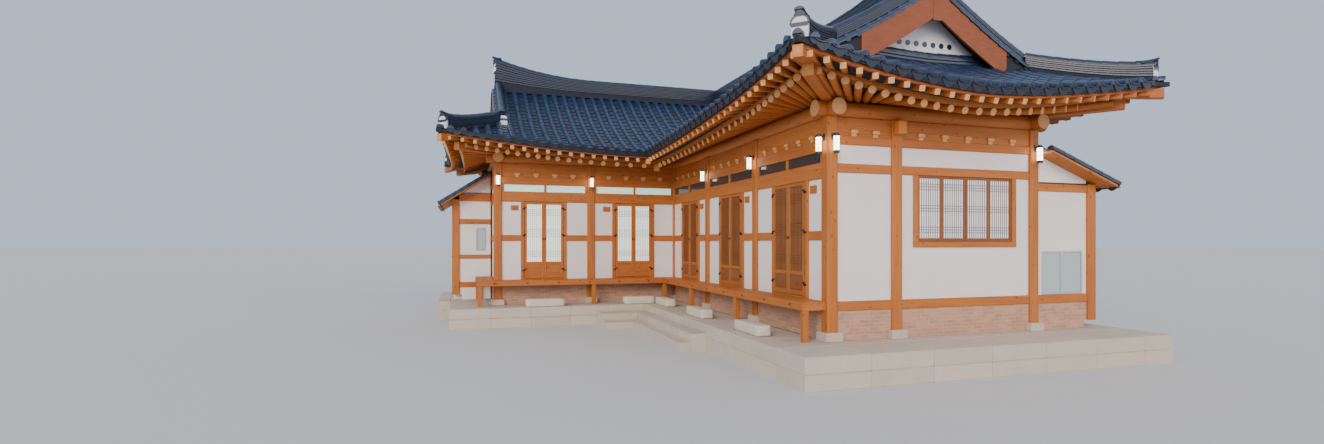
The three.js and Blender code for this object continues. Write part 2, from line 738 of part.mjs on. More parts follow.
function makeGableWall() {
  const wall = face.gable;
  const { u0, u1, low, high } = WINDOW;
  const solid = join([
    lining(wall, insideRight.x0 + LINING_LAP, insideRight.x1 - LINING_LAP, WALL_LOW, PLATE_TOP),
    ...gableFields(0, GABLE_POST_X),
    ...gableFields(GABLE_POST_X, WING_DEPTH),
  ]);
  return cut(solid, [
    wall(u0 - GAP, u1 + GAP, 0, LINING_FACE, low - GAP, high),
    wall(u0 + FRAME_BAR, u1 - FRAME_BAR, LINING_FACE - 1, 300, low + FRAME_BAR, high),
  ]);
}

piece("gable_wall", makeGableWall(), PLASTER);

// Window sashes as one leaf with a recessed pane for each sash
function sashes(wall, u0, u1, low, high, front, count) {
  const THICK = 55;
  const BAR = 45;
  const RECESS = 18;
  const leaf = wall(u0 + GAP, u1 - GAP, front, front + THICK, low + GAP, high - GAP);
  const step = (u1 - u0) / count;
  const panes = [];
  for (let i = 0; i < count; i++) {
    const a = u0 + i * step + BAR;
    panes.push(wall(a, a + step - 2 * BAR, front - 1, front + RECESS, low + BAR, high - BAR));
  }
  return cut(leaf, panes);
}

piece(
  "gable_window",
  sashes(
    face.gable,
    WINDOW.u0 + FRAME_BAR,
    WINDOW.u1 - FRAME_BAR,
    WINDOW.low + FRAME_BAR,
    WINDOW.high,
    BEAM_FACE + 20,
    4,
  ),
  DOOR_WOOD,
);

// Rear walls on the three hidden sides
function plainFields(wall, from, to) {
  const a = from + HALF_POST;
  const b = to - HALF_POST;
  return [
    field(wall, a, b, SILL_TOP, RAIL_LOW),
    field(wall, a, b, RAIL_TOP, DOOR_HEAD),
    field(wall, a, b, LINTEL_TOP, TIE_LOW),
  ];
}

function makeRearWall() {
  const yFront = INNER_Y - HALF_POST + LINING_FACE;
  const parts = [
    lining(face.leftEnd, yFront + LINING_START, insideY.y1, WALL_LOW, PLATE_TOP),
    lining(face.rear, LEFT_X - HALF_POST + LINING_FACE, insideRight.x1, WALL_LOW, PLATE_TOP),
    lining(face.back, cornerLining, insideY.y1, WALL_LOW, PLATE_TOP),
  ];
  for (const name of ["leftEnd", "rear", "back"]) {
    const posts = [...wallPosts[name]].sort((p, q) => p - q);
    for (let i = 0; i + 1 < posts.length; i++) {
      parts.push(...plainFields(face[name], posts[i], posts[i + 1]));
    }
  }
  return join(parts);
}

piece("rear_wall", makeRearWall(), PLASTER);

// Doors: five pairs, each leaf on its own hinges, opening outwards
rightDoors.forEach((u, i) => {
  const half = RIGHT_PAIR / 2;
  piece("right_door_" + (i + 1) + "_near", doorLeaf(face.right, u - half, 1, half), DOOR_WOOD);
  piece("right_door_" + (i + 1) + "_far", doorLeaf(face.right, u + half, -1, half), DOOR_WOOD);
});
LEFT_DOORS.forEach((u, i) => {
  const half = LEFT_PAIR / 2;
  piece("left_door_" + (i + 1) + "_left", doorLeaf(face.left, u - half, 1, half), DOOR_WOOD);
  piece("left_door_" + (i + 1) + "_right", doorLeaf(face.left, u + half, -1, half), DOOR_WOOD);
});

// Purlins round the eaves, their ends crossing at the outer corners
const CROSSING = 300;

function log([x0, y0], [x1, y1], radius) {
  const alongY = x0 === x1;
  const length = Math.hypot(x1 - x0, y1 - y0);
  const r = alongY ? radius : radius - 2;
  const barrel = new THREE.CylinderGeometry(r, r, length, PURLIN_SIDES);
  barrel.rotateY(Math.PI / PURLIN_SIDES);
  if (!alongY) barrel.rotateZ(Math.PI / 2);
  barrel.translate((x0 + x1) / 2, (y0 + y1) / 2, PURLIN_Z);
  return solidOf(barrel);
}

function purlinRing(extra = 0) {
  const r = PURLIN_RADIUS + extra;
  const e = CROSSING + extra;
  return join([
    log([0, -e], [0, INNER_Y + 60], r),
    log([LEFT_X - e, INNER_Y], [60, INNER_Y], r),
    log([LEFT_X, INNER_Y - e], [LEFT_X, REAR_Y + e], r),
    log([LEFT_X - e, REAR_Y], [WING_DEPTH + e, REAR_Y], r),
    log([WING_DEPTH, -e], [WING_DEPTH, REAR_Y + e], r),
    log([-e, 0], [WING_DEPTH + e, 0], r),
  ]);
}

piece("eave_purlins", purlinRing(), TIMBER);

// Roof: each side is an eave line with its own rise towards the corners

const OVERHANG = 1350;
const CORNER_REACH = 200; // the eave stands out this much further at a corner
const REACH_LENGTH = 3800;
const CURVE = 1.6;
const HALF_SPAN = WING_DEPTH / 2 + OVERHANG;
const TILE_RISE = 140; // tile surface above the tiles' lower edge at the eave
const BACK_X = WING_DEPTH + OVERHANG;
const LEFT_EAVE = LEFT_X - OVERHANG;
const REAR_EAVE = REAR_Y + OVERHANG;
const FRONT_EAVE = INNER_Y - OVERHANG;

const sides = {
  court: {
    start: [-OVERHANG, -OVERHANG],
    along: [0, 1],
    inward: [1, 0],
    length: FRONT_EAVE + OVERHANG,
    low: 3920,
    rise: [4460, 0],
    reach: [8250, 1],
    ends: ["hip", "valley"],
  },
  front: {
    start: [LEFT_EAVE, FRONT_EAVE],
    along: [1, 0],
    inward: [0, 1],
    length: -OVERHANG - LEFT_EAVE,
    low: 3920,
    rise: [4270, 0],
    reach: [5150, 1],
    ends: ["hip", "valley"],
  },
  gable: {
    start: [-OVERHANG, -OVERHANG],
    along: [1, 0],
    inward: [0, 1],
    length: BACK_X + OVERHANG,
    low: 4030,
    rise: [4460, 4370],
    reach: [3600, 3600],
    ends: ["hip", "hip"],
  },
  leftEnd: {
    start: [LEFT_EAVE, FRONT_EAVE],
    along: [0, 1],
    inward: [1, 0],
    length: REAR_EAVE - FRONT_EAVE,
    low: 3980,
    rise: [4270, 4270],
    reach: [3600, 3600],
    ends: ["hip", "hip"],
  },
  back: {
    start: [BACK_X, -OVERHANG],
    along: [0, 1],
    inward: [-1, 0],
    length: REAR_EAVE + OVERHANG,
    low: 3930,
    rise: [4370, 4330],
    reach: [7000, 7000],
    ends: ["hip", "hip"],
  },
  rear: {
    start: [LEFT_EAVE, REAR_EAVE],
    along: [1, 0],
    inward: [0, -1],
    length: BACK_X - LEFT_EAVE,
    low: 3930,
    rise: [4270, 4330],
    reach: [6000, 6000],
    ends: ["hip", "hip"],
  },
};

// Height of the tiles' lower edge at distance s along the eave
function eaveHeight(side, s) {
  let z = side.low;
  const distances = [Math.max(s, 0), Math.max(side.length - s, 0)];
  for (let k = 0; k < 2; k++) {
    if (side.ends[k] === "hip") {
      const near = Math.max(1 - distances[k] / side.reach[k], 0);
      z += (side.rise[k] - side.low) * near ** CURVE;
    }
  }
  return z;
}

function cornerReach(side, s) {
  let out = 0;
  const distances = [s + CORNER_REACH, side.length - s + CORNER_REACH];
  for (let k = 0; k < 2; k++) {
    if (side.ends[k] === "hip") {
      out += CORNER_REACH * Math.max(1 - Math.max(distances[k], 0) / REACH_LENGTH, 0) ** 2;
    }
  }
  return out;
}

function planPoint(side, s, d) {
  return [
    side.start[0] + side.along[0] * s + side.inward[0] * d,
    side.start[1] + side.along[1] * s + side.inward[1] * d,
  ];
}

// The roof's sagging section, from 0 at the eave to 1 at the ridge
const section = (t) => 0.65 * t + 0.35 * t * t;

function roofTop(side, s, d) {
  const edge = eaveHeight(side, s) + TILE_RISE;
  return edge + (RIDGE_SURFACE - edge) * section(Math.max(d, 0) / HALF_SPAN);
}

const EDGE_ZONE = 1000;
const WALL_ZONE = 1400;
const THICK_WALL = 450;
const THICK_RIDGE = 260;

function roofLow(side, s, d) {
  const edge = eaveHeight(side, s) - 10 - 0.1 * Math.min(Math.max(d, 0), EDGE_ZONE);
  if (d <= EDGE_ZONE) return edge;
  const t = Math.max(d - WALL_ZONE, 0) / (HALF_SPAN - WALL_ZONE);
  const under = roofTop(side, s, Math.max(d, WALL_ZONE)) - THICK_WALL + (THICK_WALL - THICK_RIDGE) * t;
  if (d >= WALL_ZONE) return under;
  return edge + ((under - edge) * (d - EDGE_ZONE)) / (WALL_ZONE - EDGE_ZONE);
}

// A closed sheet over a grid of plan points; low and high give its heights
function shell(rows) {
  const columns = rows[0].length;
  const positions = [];
  for (const row of rows) {
    for (const p of row) {
      positions.push(p.x, p.y, p.high, p.x, p.y, p.low);
    }
  }
  const top = (i, j) => 2 * (i * columns + j);
  const low = (i, j) => top(i, j) + 1;
  const faces = [];
  const quad = (a, b, c, d) => faces.push(a, b, c, a, c, d);
  for (let i = 0; i + 1 < rows.length; i++) {
    for (let j = 0; j + 1 < columns; j++) {
      quad(top(i, j), top(i + 1, j), top(i + 1, j + 1), top(i, j + 1));
      quad(low(i, j), low(i, j + 1), low(i + 1, j + 1), low(i + 1, j));
    }
  }
  for (let i = 0; i + 1 < rows.length; i++) {
    quad(top(i, 0), low(i, 0), low(i + 1, 0), top(i + 1, 0));
    quad(top(i + 1, columns - 1), low(i + 1, columns - 1), low(i, columns - 1), top(i, columns - 1));
  }
  for (let j = 0; j + 1 < columns; j++) {
    quad(top(0, j + 1), low(0, j + 1), low(0, j), top(0, j));
    const last = rows.length - 1;
    quad(top(last, j), low(last, j), low(last, j + 1), top(last, j + 1));
  }
  return closed(positions, faces);
}

// A solid from its points and faces, turned outwards whichever way the faces were listed
function closed(positions, faces) {
  const build = (list) => {
    const geometry = new THREE.BufferGeometry();
    geometry.setAttribute("position", new THREE.Float32BufferAttribute(positions, 3));
    geometry.setIndex(list);
    return solidOf(geometry);
  };
  const first = build(faces);
  if (first.volume() > 0) return first;
  const turned = [];
  for (let i = 0; i < faces.length; i += 3) {
    turned.push(faces[i], faces[i + 2], faces[i + 1]);
  }
  return build(turned);
}

// Part of one roof slope: s stations, and the distances where it starts and ends at each
function slope(side, stations, from, to, steps) {
  const rows = stations.map((s) => {
    const row = [];
    const d0 = from(s);
    const d1 = to(s);
    for (let j = 0; j <= steps; j++) {
      const d = d0 + ((d1 - d0) * j) / steps;
      const [x, y] = planPoint(side, s, d);
      row.push({ x, y, high: roofTop(side, s, d), low: roofLow(side, s, d) });
    }
    return row;
  });
  return shell(rows);
}

function spread(from, to, count) {
  const values = [];
  for (let i = 0; i <= count; i++) {
    values.push(from + ((to - from) * i) / count);
  }
  return values;
}

const LAP = 25; // slopes run this far past their hips and ridges, under the ridge tiles
const VERGE = OVERHANG; // the gable's verge, from the eave

// The triangle between an eave corner and the verge; end 0 is the side's start
function hipPart(side, end, lap) {
  const s = (v) => (end === 0 ? v : side.length - v);
  const stations = spread(-CORNER_REACH, VERGE + LAP, 4).map(s);
  const v = (station) => (end === 0 ? station : side.length - station);
  return slope(
    side,
    stations,
    (q) => -cornerReach(side, q),
    (q) => Math.max(v(q) + lap, -cornerReach(side, q) + 5),
    3,
  );
}

function mainPart(side, lap) {
  const [startEnd, endEnd] = side.ends;
  const fullHip = side === sides.back || side === sides.rear;
  const from = startEnd === "hip" ? VERGE : 0;
  const low = (q) => {
    const past = q - side.length - lap;
    return endEnd === "valley" && past > 0 ? past : -cornerReach(side, q);
  };
  if (endEnd === "valley") {
    const stations = [
      ...spread(from, side.length, 6),
      ...spread(side.length, side.length + HALF_SPAN - 60, 3).slice(1),
    ];
    return slope(side, stations, low, () => HALF_SPAN + lap, 4);
  }
  if (fullHip) {
    const stations = [
      ...spread(from, side.length - HALF_SPAN, 5),
      ...spread(side.length - HALF_SPAN, side.length + CORNER_REACH, 4).slice(1),
    ];
    const high = (q) =>
      Math.min(HALF_SPAN + lap, Math.max(side.length - q + lap, -cornerReach(side, q) + 5));
    return slope(side, stations, low, high, 4);
  }
  throw new Error("a main slope ends at a valley or at a full hip");
}

const GABLE_PLANE = VERGE + 300; // the gable wall's face, from the eave
const GABLE_WALL = 80;

// The skirt below a gable: a hipped slope that runs on under the verge to the gable wall
function skirt(side, lap) {
  const depth = GABLE_PLANE + GABLE_WALL;
  const middle = side.length / 2;
  const stations = spread(-CORNER_REACH, side.length + CORNER_REACH, 8);
  const high = (q) => {
    const reach = Math.min(q, side.length - q);
    return Math.max(Math.min(depth, reach + lap), -cornerReach(side, q) + 5);
  };
  const exact = [...stations, depth, side.length - depth, middle].sort((p, q) => p - q);
  return slope(side, exact, (q) => -cornerReach(side, q), high, 3);
}

function makeRoof(lap) {
  return join([
    mainPart(sides.court, lap),
    hipPart(sides.court, 0, lap),
    mainPart(sides.front, lap),
    hipPart(sides.front, 0, lap),
    mainPart(sides.back, lap),
    hipPart(sides.back, 0, lap),
    mainPart(sides.rear, lap),
    hipPart(sides.rear, 0, lap),
    skirt(sides.gable, lap),
    skirt(sides.leftEnd, lap),
  ]);
}

// Rafters: two tiers, each a sheet with a tooth for every rafter, fanned out at the outer corners

const PURLIN_OUT = OVERHANG + 250; // the tiers' inner edge, just inside the purlin
const FLY_EDGE = 120; // flying rafters' ends, from the eave
const FAN_END = 2900;
const LOWER_AT = 0.243; // share of the way in where the lower rafters end
const TAIL_AT = 0.595; // and where the flying rafters' tails end
const LOWER_REACH = [LOWER_AT, 1];
const FLY_REACH = [0, TAIL_AT];
const TOOTHED = ["court", "front", "gable"]; // elsewhere the tiers are plain sheets
const TAIL_CLEAR = 90; // the tails' height over the lower tier
const RAFTER_STEP = 450;
const LOG_WIDTH = 130;
const FLY_WIDTH = 95;
const END_PAST = 66; // the first and last lines, past their corners
const LINE_STEP = 1200;
const LOG_DROP = 295; // the lower rafters' ends, under the tiles' edge
const FLY_DROP = 160;
const RUN_FALLING = 812; // from the lower rafters' ends in to their seat on the purlin
const RUN_RISING = 930;
const PAST_FALLING = 308; // and from there to the tier's inner edge
const PAST_RISING = 190;
const TIER_THICK = 175;
const LOG_UNDER = 135; // up from a rafter's underside to its sheet
const FLY_UNDER = 60;
const FLY_THICK = 140;
const LIP = 30; // the flying tier's outer edge, over the tiles' edge
const PURLIN_TOP = PURLIN_Z + PURLIN_FLAT;

const mix = (a, b, t) => a + (b - a) * t;
const mixPoint = (p, q, t) => [mix(p[0], q[0], t), mix(p[1], q[1], t)];

// The lines that the rafters follow, sparse along the eave, with the tiers' heights
function rafterLines(side) {
  const first = side.ends[0] === "hip" ? -END_PAST : 0;
  const hipEnd = side.ends[1] === "hip";
  const last = side.length + (hipEnd ? END_PAST : FLY_EDGE);
  const inset = (s) => {
    if (s < FAN_END && side.ends[0] === "hip") {
      return mix(PURLIN_OUT, FAN_END, (s - first) / (FAN_END - first));
    }
    if (hipEnd && s > side.length - FAN_END) {
      const t = (last - s) / (last - side.length + FAN_END);
      return side.length - mix(PURLIN_OUT, FAN_END, t);
    }
    if (!hipEnd && s > side.length - LINE_STEP) {
      const t = (s - side.length + LINE_STEP) / (last - side.length + LINE_STEP);
      return mix(side.length - LINE_STEP, side.length + PURLIN_OUT, t);
    }
    return s;
  };
  const count = Math.round((last - first) / LINE_STEP);
  return spread(first, last, count).map((s, k) => {
    const edge = eaveHeight(side, s);
    const lowEnd = edge - LOG_DROP;
    const seat = PURLIN_TOP + 2 * GAP;
    const falling = lowEnd < seat;
    const slopeOut = (seat - lowEnd) / (falling ? RUN_FALLING : RUN_RISING);
    const inner = seat + (falling ? PAST_FALLING : PAST_RISING) * slopeOut;
    const innerTop = inner + TIER_THICK;
    const flyEnd = edge - FLY_DROP;
    // The lower tier's upper edge and the flying rafters' underside meet where the lower rafters end
    const reach = LOWER_AT / TAIL_AT;
    const back = (TAIL_AT - LOWER_AT) / (1 - LOWER_AT);
    const endTop =
      ((1 - reach) * flyEnd + reach * (back * innerTop + TAIL_CLEAR) - GAP) / (1 - reach * (1 - back));
    const tailLow = mix(endTop, innerTop, back) + TAIL_CLEAR;
    const underEnd = Math.min(lowEnd + LOG_UNDER + 15, endTop - 40);
    return {
      s,
      outer: planPoint(side, s, FLY_EDGE - cornerReach(side, s)),
      inner: planPoint(side, inset(s), PURLIN_OUT),
      ripple: (k % 2) * 0.02,
      lower: {
        tooth: [lowEnd, inner],
        under: [underEnd, inner + LOG_UNDER],
        top: [endTop, innerTop],
      },
      fly: {
        tooth: [flyEnd, tailLow],
        under: [edge - FLY_UNDER, tailLow + FLY_UNDER],
        top: [edge + LIP, tailLow + FLY_THICK],
      },
    };
  });
}

// A value of the sparse lines at distance s, by straight steps between them
function lineAt(lines, s) {
  let k = 0;
  while (k < lines.length - 2 && s > lines[k + 1].s) k++;
  const t = (s - lines[k].s) / (lines[k + 1].s - lines[k].s);
  const [a, b] = [lines[k], lines[k + 1]];
  const tier = (name, kind) => a[name][kind].map((z, i) => mix(z, b[name][kind][i], t));
  return {
    outer: mixPoint(a.outer, b.outer, t),
    inner: mixPoint(a.inner, b.inner, t),
    lower: { tooth: tier("lower", "tooth"), under: tier("lower", "under"), top: tier("lower", "top") },
    fly: { tooth: tier("fly", "tooth"), under: tier("fly", "under"), top: tier("fly", "top") },
  };
}

// One side of a tier: a sheet lofted between its lines, lifted, and grown outwards by a share
function tierSheet(lines, tier, [atOuter, atInner], lift = 0, grow = 0) {
  const rows = lines.map((line) => {
    const outer = mixPoint(line.outer, line.inner, atOuter - grow);
    const inner = mixPoint(line.outer, line.inner, atInner);
    const past = -grow / (atInner - atOuter);
    const { top, under } = line[tier];
    return [
      [...outer, mix(...top, past) + line.ripple + lift],
      [...inner, top[1] + line.ripple + lift],
      [...inner, under[1]],
      [...outer, mix(...under, past)],
    ];
  });
  return loft(rows);
}

// A solid lofted through rings of points, one ring a station
function loft(rings) {
  const n = rings[0].length;
  const faces = [];
  const last = n * (rings.length - 1);
  for (let j = 1; j + 1 < n; j++) {
    faces.push(0, j, j + 1, last, last + j + 1, last + j);
  }
  for (let k = 0; k + 1 < rings.length; k++) {
    for (let j = 0; j < n; j++) {
      const a = n * k + j;
      const b = n * k + ((j + 1) % n);
      faces.push(b, a, b + n, a, a + n, b + n);
    }
  }
  return closed(rings.flat(2), faces);
}

// A straight bar between two plan points, its top and underside given at both ends
function bar(p, q, width, [topP, lowP], [topQ, lowQ]) {
  const length = Math.hypot(q[0] - p[0], q[1] - p[1]);
  const across = [(-(q[1] - p[1]) * width) / 2 / length, ((q[0] - p[0]) * width) / 2 / length];
  const corner = ([x, y], side, z) => [x + side * across[0], y + side * across[1], z];
  const positions = [
    ...corner(p, 1, topP),
    ...corner(p, -1, topP),
    ...corner(p, -1, lowP),
    ...corner(p, 1, lowP),
    ...corner(q, 1, topQ),
    ...corner(q, -1, topQ),
    ...corner(q, -1, lowQ),
    ...corner(q, 1, lowQ),
  ];
  const quads = [
    [0, 1, 2, 3],
    [4, 7, 6, 5],
    [0, 4, 5, 1],
    [1, 5, 6, 2],
    [2, 6, 7, 3],
    [3, 7, 4, 0],
  ];
  return closed(positions, quads.flatMap(([a, b, c, d]) => [a, b, c, a, c, d]));
}

const TOOTH_SEAT = 20; // a rafter's sides run up into its sheet
const TOOTH_BACK = 0.025; // and its ends stay this share behind the sheet's edges

function teeth(lines, tier, width, [atOuter, atInner]) {
  const start = lines[0].s;
  const run = lines.at(-1).s - start;
  const count = Math.floor((run - width) / RAFTER_STEP);
  const margin = (run - count * RAFTER_STEP) / 2;
  return spread(start + margin, start + run - margin, count).map((s) => {
    const line = lineAt(lines, s);
    const p = mixPoint(line.outer, line.inner, atOuter + TOOTH_BACK);
    const q = mixPoint(line.outer, line.inner, atInner - TOOTH_BACK);
    const { tooth, under } = line[tier];
    return bar(p, q, width, [under[0] + TOOTH_SEAT, tooth[0]], [under[1] + TOOTH_SEAT, tooth[1]]);
  });
}

// All of one tier, with its rafters on the sides in view
function tier(name, width, reach) {
  return Object.entries(allLines).flatMap(([side, lines]) => [
    tierSheet(lines, name, reach),
    ...(TOOTHED.includes(side) ? teeth(lines, name, width, reach) : []),
  ]);
}

const allLines = Object.fromEntries(
  Object.entries(sides).map(([name, side]) => [name, rafterLines(side)]),
);

// The lines at the eave corners, each with how far its corner beams run past the rafters
const corners = [
  { line: allLines.court[0], past: 1 },
  { line: allLines.front[0], past: 1 },
  { line: allLines.back[0], past: 1 },
  { line: allLines.back.at(-1), past: 1 },
  { line: allLines.rear[0], past: 1 },
  { line: allLines.court.at(-1), past: -0.5 },
];
const CORNER_WIDTH = 180;
const CORNER_CLEAR = 8; // between the two tiers along a corner
const LOWER_PAST = 0.03;
const FLY_PAST = 0.04;

function lowerBeam({ line, past }, drop, width, grow) {
  const p = mixPoint(line.outer, line.inner, LOWER_AT - LOWER_PAST * Math.max(past, 0) - grow);
  const { tooth, top } = line.lower;
  const q = mixPoint(line.outer, line.inner, 1.02);
  return bar(p, q, width, [top[0] - drop, tooth[0] - 70], [top[1] + 4, tooth[1] - 40]);
}

function flyBeam({ line, past }) {
  const p = mixPoint(line.outer, line.inner, -FLY_PAST * past);
  const q = mixPoint(line.outer, line.inner, TAIL_AT - 0.02);
  const { tooth } = line.fly;
  return bar(p, q, 160, [tooth[0] + 120, tooth[0] - 60], [tooth[1] + 100, tooth[1] + 8]);
}

function makeLowerRafters() {
  const beams = corners.map((corner) => lowerBeam(corner, 20, CORNER_WIDTH, 0));
  return clean(join([...tier("lower", LOG_WIDTH, LOWER_REACH), ...beams]).subtract(purlinRing(GAP)));
}

// The flying rafters rest on the lower tier, which twists towards the corners
const REST = 0.95;

function makeFlyingRafters() {
  const beams = corners.map(flyBeam);
  const grow = 0.004;
  const spaces = Object.values(allLines).map((lines) => tierSheet(lines, "lower", LOWER_REACH, REST, grow));
  const beamSpaces = corners.map((corner) => lowerBeam(corner, -CORNER_CLEAR, CORNER_WIDTH + 4, grow));
  return clean(cut(join([...tier("fly", FLY_WIDTH, FLY_REACH), ...beams]), [...spaces, ...beamSpaces]));
}

// Everything under the tiers' upper side, so that the roof rests on the flying rafters
function underTiers(lines) {
  const DEEP = 700;
  return loft(
    lines.map((line) => {
      const lip = mixPoint(line.outer, line.inner, -0.001);
      const tail = mixPoint(line.outer, line.inner, TAIL_AT);
      const ends = line.fly.top.map((z) => z + line.ripple + GAP);
      const inner = line.lower.top[1] + 60;
      return [
        [...lip, ends[0]],
        [...tail, ends[1]],
        [...line.inner, inner],
        [...line.inner, inner - DEEP],
        [...tail, ends[1] - DEEP],
        [...lip, ends[0] - DEEP],
      ];
    }),
  );
}

function underBeam({ line, past }) {
  const DEEP = 500;
  const p = mixPoint(line.outer, line.inner, -1.3 * FLY_PAST * past);
  const q = mixPoint(line.outer, line.inner, TAIL_AT);
  const { top } = line.fly;
  return join([
    bar(p, q, 170, [top[0], top[0] - DEEP], [top[1], top[1] - DEEP]),
    bar(q, line.inner, 190, [top[1], top[1] - DEEP], [line.lower.top[1] + 50, line.lower.top[1] - DEEP]),
  ]);
}

const lowerRafters = makeLowerRafters();
const flyingRafters = makeFlyingRafters();
piece("lower_rafters", lowerRafters, TIMBER);
piece("flying_rafters", flyingRafters, TIMBER);

const underside = [...Object.values(allLines).map(underTiers), ...corners.map(underBeam)];
const roof = clean(cut(makeRoof(LAP), underside));
piece("tiled_roof", roof, TILE);

// Ridges of stacked tiles, seated on the roof
const RIDGE_X = WING_DEPTH / 2;
const RIDGE_Y = INNER_Y + WING_DEPTH / 2;
const RIDGE_WIDTH = 300;
const RIDGE_HEIGHT = 480;
const RIDGE_LIFT = 520; // how far the ridge rises at a gable
const LIFT_LENGTH = 3200;
const HIP_WIDTH = 230;
const HIP_HEIGHT = 300;
const HIP_TIP = -40; // a hip ridge's outer end, short of the eave corner's own reach
const TIP_LIFT = 60;
const RIDGE_SINK = 220;
const HIP_SINK = 90;

// A curved bar through points [x, y, top, low]
function ridgeBar(points, width) {
  const bars = [];
  for (let i = 0; i + 1 < points.length; i++) {
    const [p, q] = [points[i], points[i + 1]];
    bars.push(bar(p, q, width, [p[2], p[3]], [q[2], q[3]]));
  }
  return join(bars);
}

const liftAt = (distance) => RIDGE_LIFT * Math.max(1 - distance / LIFT_LENGTH, 0) ** 2.2;

function mainRidge(from, to, stations) {
  const length = Math.hypot(to[0] - from[0], to[1] - from[1]);
  const points = stations.map((t) => [
    mix(from[0], to[0], t),
    mix(from[1], to[1], t),
    RIDGE_SURFACE + RIDGE_HEIGHT + liftAt(t * length),
    RIDGE_SURFACE - RIDGE_SINK,
  ]);
  return ridgeBar(points, RIDGE_WIDTH);
}

// Along a hip from the verge down to the eave corner, lifting at its end
function hipRidge(side, end, from) {
  const s = (v) => (end === 0 ? v : side.length - v);
  const stations = spread(from, HIP_TIP, 3);
  const points = stations.map((v, k) => {
    const top = roofTop(side, s(v), v);
    const lift = k === stations.length - 1 ? TIP_LIFT : 0;
    return [...planPoint(side, s(v) + lift / 20, v), top + HIP_HEIGHT + lift, top - HIP_SINK];
  });
  return ridgeBar(points, HIP_WIDTH);
}

// Down the verge from the main ridge towards the hip
function vergeRidge(side, end) {
  const s = end === 0 ? VERGE : side.length - VERGE;
  const shift = end === 0 ? 130 : -130;
  const points = spread(HALF_SPAN, VERGE - 40, 4).map((d) => {
    const top = roofTop(side, s, d);
    return [...planPoint(side, s + shift, d), top + HIP_HEIGHT, top - HIP_SINK];
  });
  return ridgeBar(points, HIP_WIDTH);
}

function makeRidges() {
  const raw = join([
    mainRidge([RIDGE_X, 20], [RIDGE_X, RIDGE_Y + RIDGE_WIDTH / 2], [0, 0.09, 0.18, 0.3, 1]),
    mainRidge([LEFT_X + 20, RIDGE_Y], [RIDGE_X, RIDGE_Y], [0, 0.13, 0.26, 0.42, 1]),
    hipRidge(sides.court, 0, VERGE + 60),
    hipRidge(sides.front, 0, VERGE + 60),
    hipRidge(sides.back, 0, VERGE + 60),
    hipRidge(sides.rear, 0, VERGE + 60),
    hipRidge(sides.back, 1, HALF_SPAN),
    vergeRidge(sides.court, 0),
    vergeRidge(sides.back, 0),
    vergeRidge(sides.front, 0),
    vergeRidge(sides.rear, 0),
  ]);
  const seat = makeRoof(LAP + 1); // wider at its laps, so that the ridges clear their edges
  return clean(cut(raw, [seat.translate([0, 0, 2 * GAP])]));
}

const ridges = makeRidges();
piece("ridges", ridges, TILE_RIDGE);

// Gable walls under the verges, and the bargeboards on the roof's edge
const raised = roof.translate([0, 0, GAP]);
const lowered = roof.translate([0, 0, -GAP]);

function gableTriangle(side) {
  const middle = side.length / 2;
  const half = 1500;
  const [x0, y0] = planPoint(side, middle - half, GABLE_PLANE);
  const [x1, y1] = planPoint(side, middle + half, GABLE_PLANE + GABLE_WALL);
  const slab = block(
    Math.min(x0, x1),
    Math.max(x0, x1),
    Math.min(y0, y1),
    Math.max(y0, y1),
    4700,
    RIDGE_SURFACE - 100,
  );
  return clean(cut(slab, [raised, lowered, roof]));
}

piece("near_gable_wall", gableTriangle(sides.gable), PLASTER);
piece("left_gable_wall", gableTriangle(sides.leftEnd), PLASTER);

const BARGE_THICK = 40;
const BARGE_TOP = 60; // below the tiles
const BARGE_LOW = 380;

function bargeboard(sideA, endA, sideB, endB) {
  const boards = [
    [sideA, endA],
    [sideB, endB],
  ].map(([side, end]) => {
    const s = end === 0 ? VERGE : side.length - VERGE;
    const out = end === 0 ? -BARGE_THICK / 2 - GAP : BARGE_THICK / 2 + GAP;
    const points = spread(HALF_SPAN + 5, 2050, 4).map((d) => {
      const top = roofTop(side, s, d);
      return [...planPoint(side, s + out, d), top - BARGE_TOP, top - BARGE_LOW];
    });
    return ridgeBar(points, BARGE_THICK);
  });
  return cut(join(boards), [ridges.translate([0, 0, -GAP]), ridges]);
}

piece("near_bargeboards", bargeboard(sides.court, 0, sides.back, 0), BARGE);
piece("left_bargeboards", bargeboard(sides.front, 0, sides.rear, 0), BARGE);

// Lean-tos

// A sheet over a rectangle that falls along X from one height to another
function pitched(x0, z0, x1, z1, y0, y1, thick) {
  const middle = (y0 + y1) / 2;
  return bar([x0, middle], [x1, middle], y1 - y0, [z0 + thick, z0], [z1 + thick, z1]);
}

const RIGHT_PITCH = { x0: WING_DEPTH + HALF_POST + GAP, z0: 3270, x1: 6420, z1: 2610 };
const LEFT_PITCH = { x0: LEFT_X - HALF_POST - GAP, z0: 3560, x1: -6800, z1: 2560 };
const LEAN_THICK = 120;
const LEAN_VERGE = 330;

const abovePitch = ({ x0, z0, x1, z1 }, y0, y1) => pitched(x0, z0 - GAP, x1, z1 - GAP, y0, y1, 2500);

const rightRear = (u0, u1, d0, d1, z0, z1) =>
  block(u0, u1, RIGHT_LEAN_Y + HALF_POST - d1, RIGHT_LEAN_Y + HALF_POST - d0, z0, z1);

const LEAN_WINDOW = { u0: 4720, u1: 5800, low: SILL_TOP, high: 1390 };
const LEAN_HEAD_LOW = 2560;
const LEAN_HEAD_TOP = 2740;

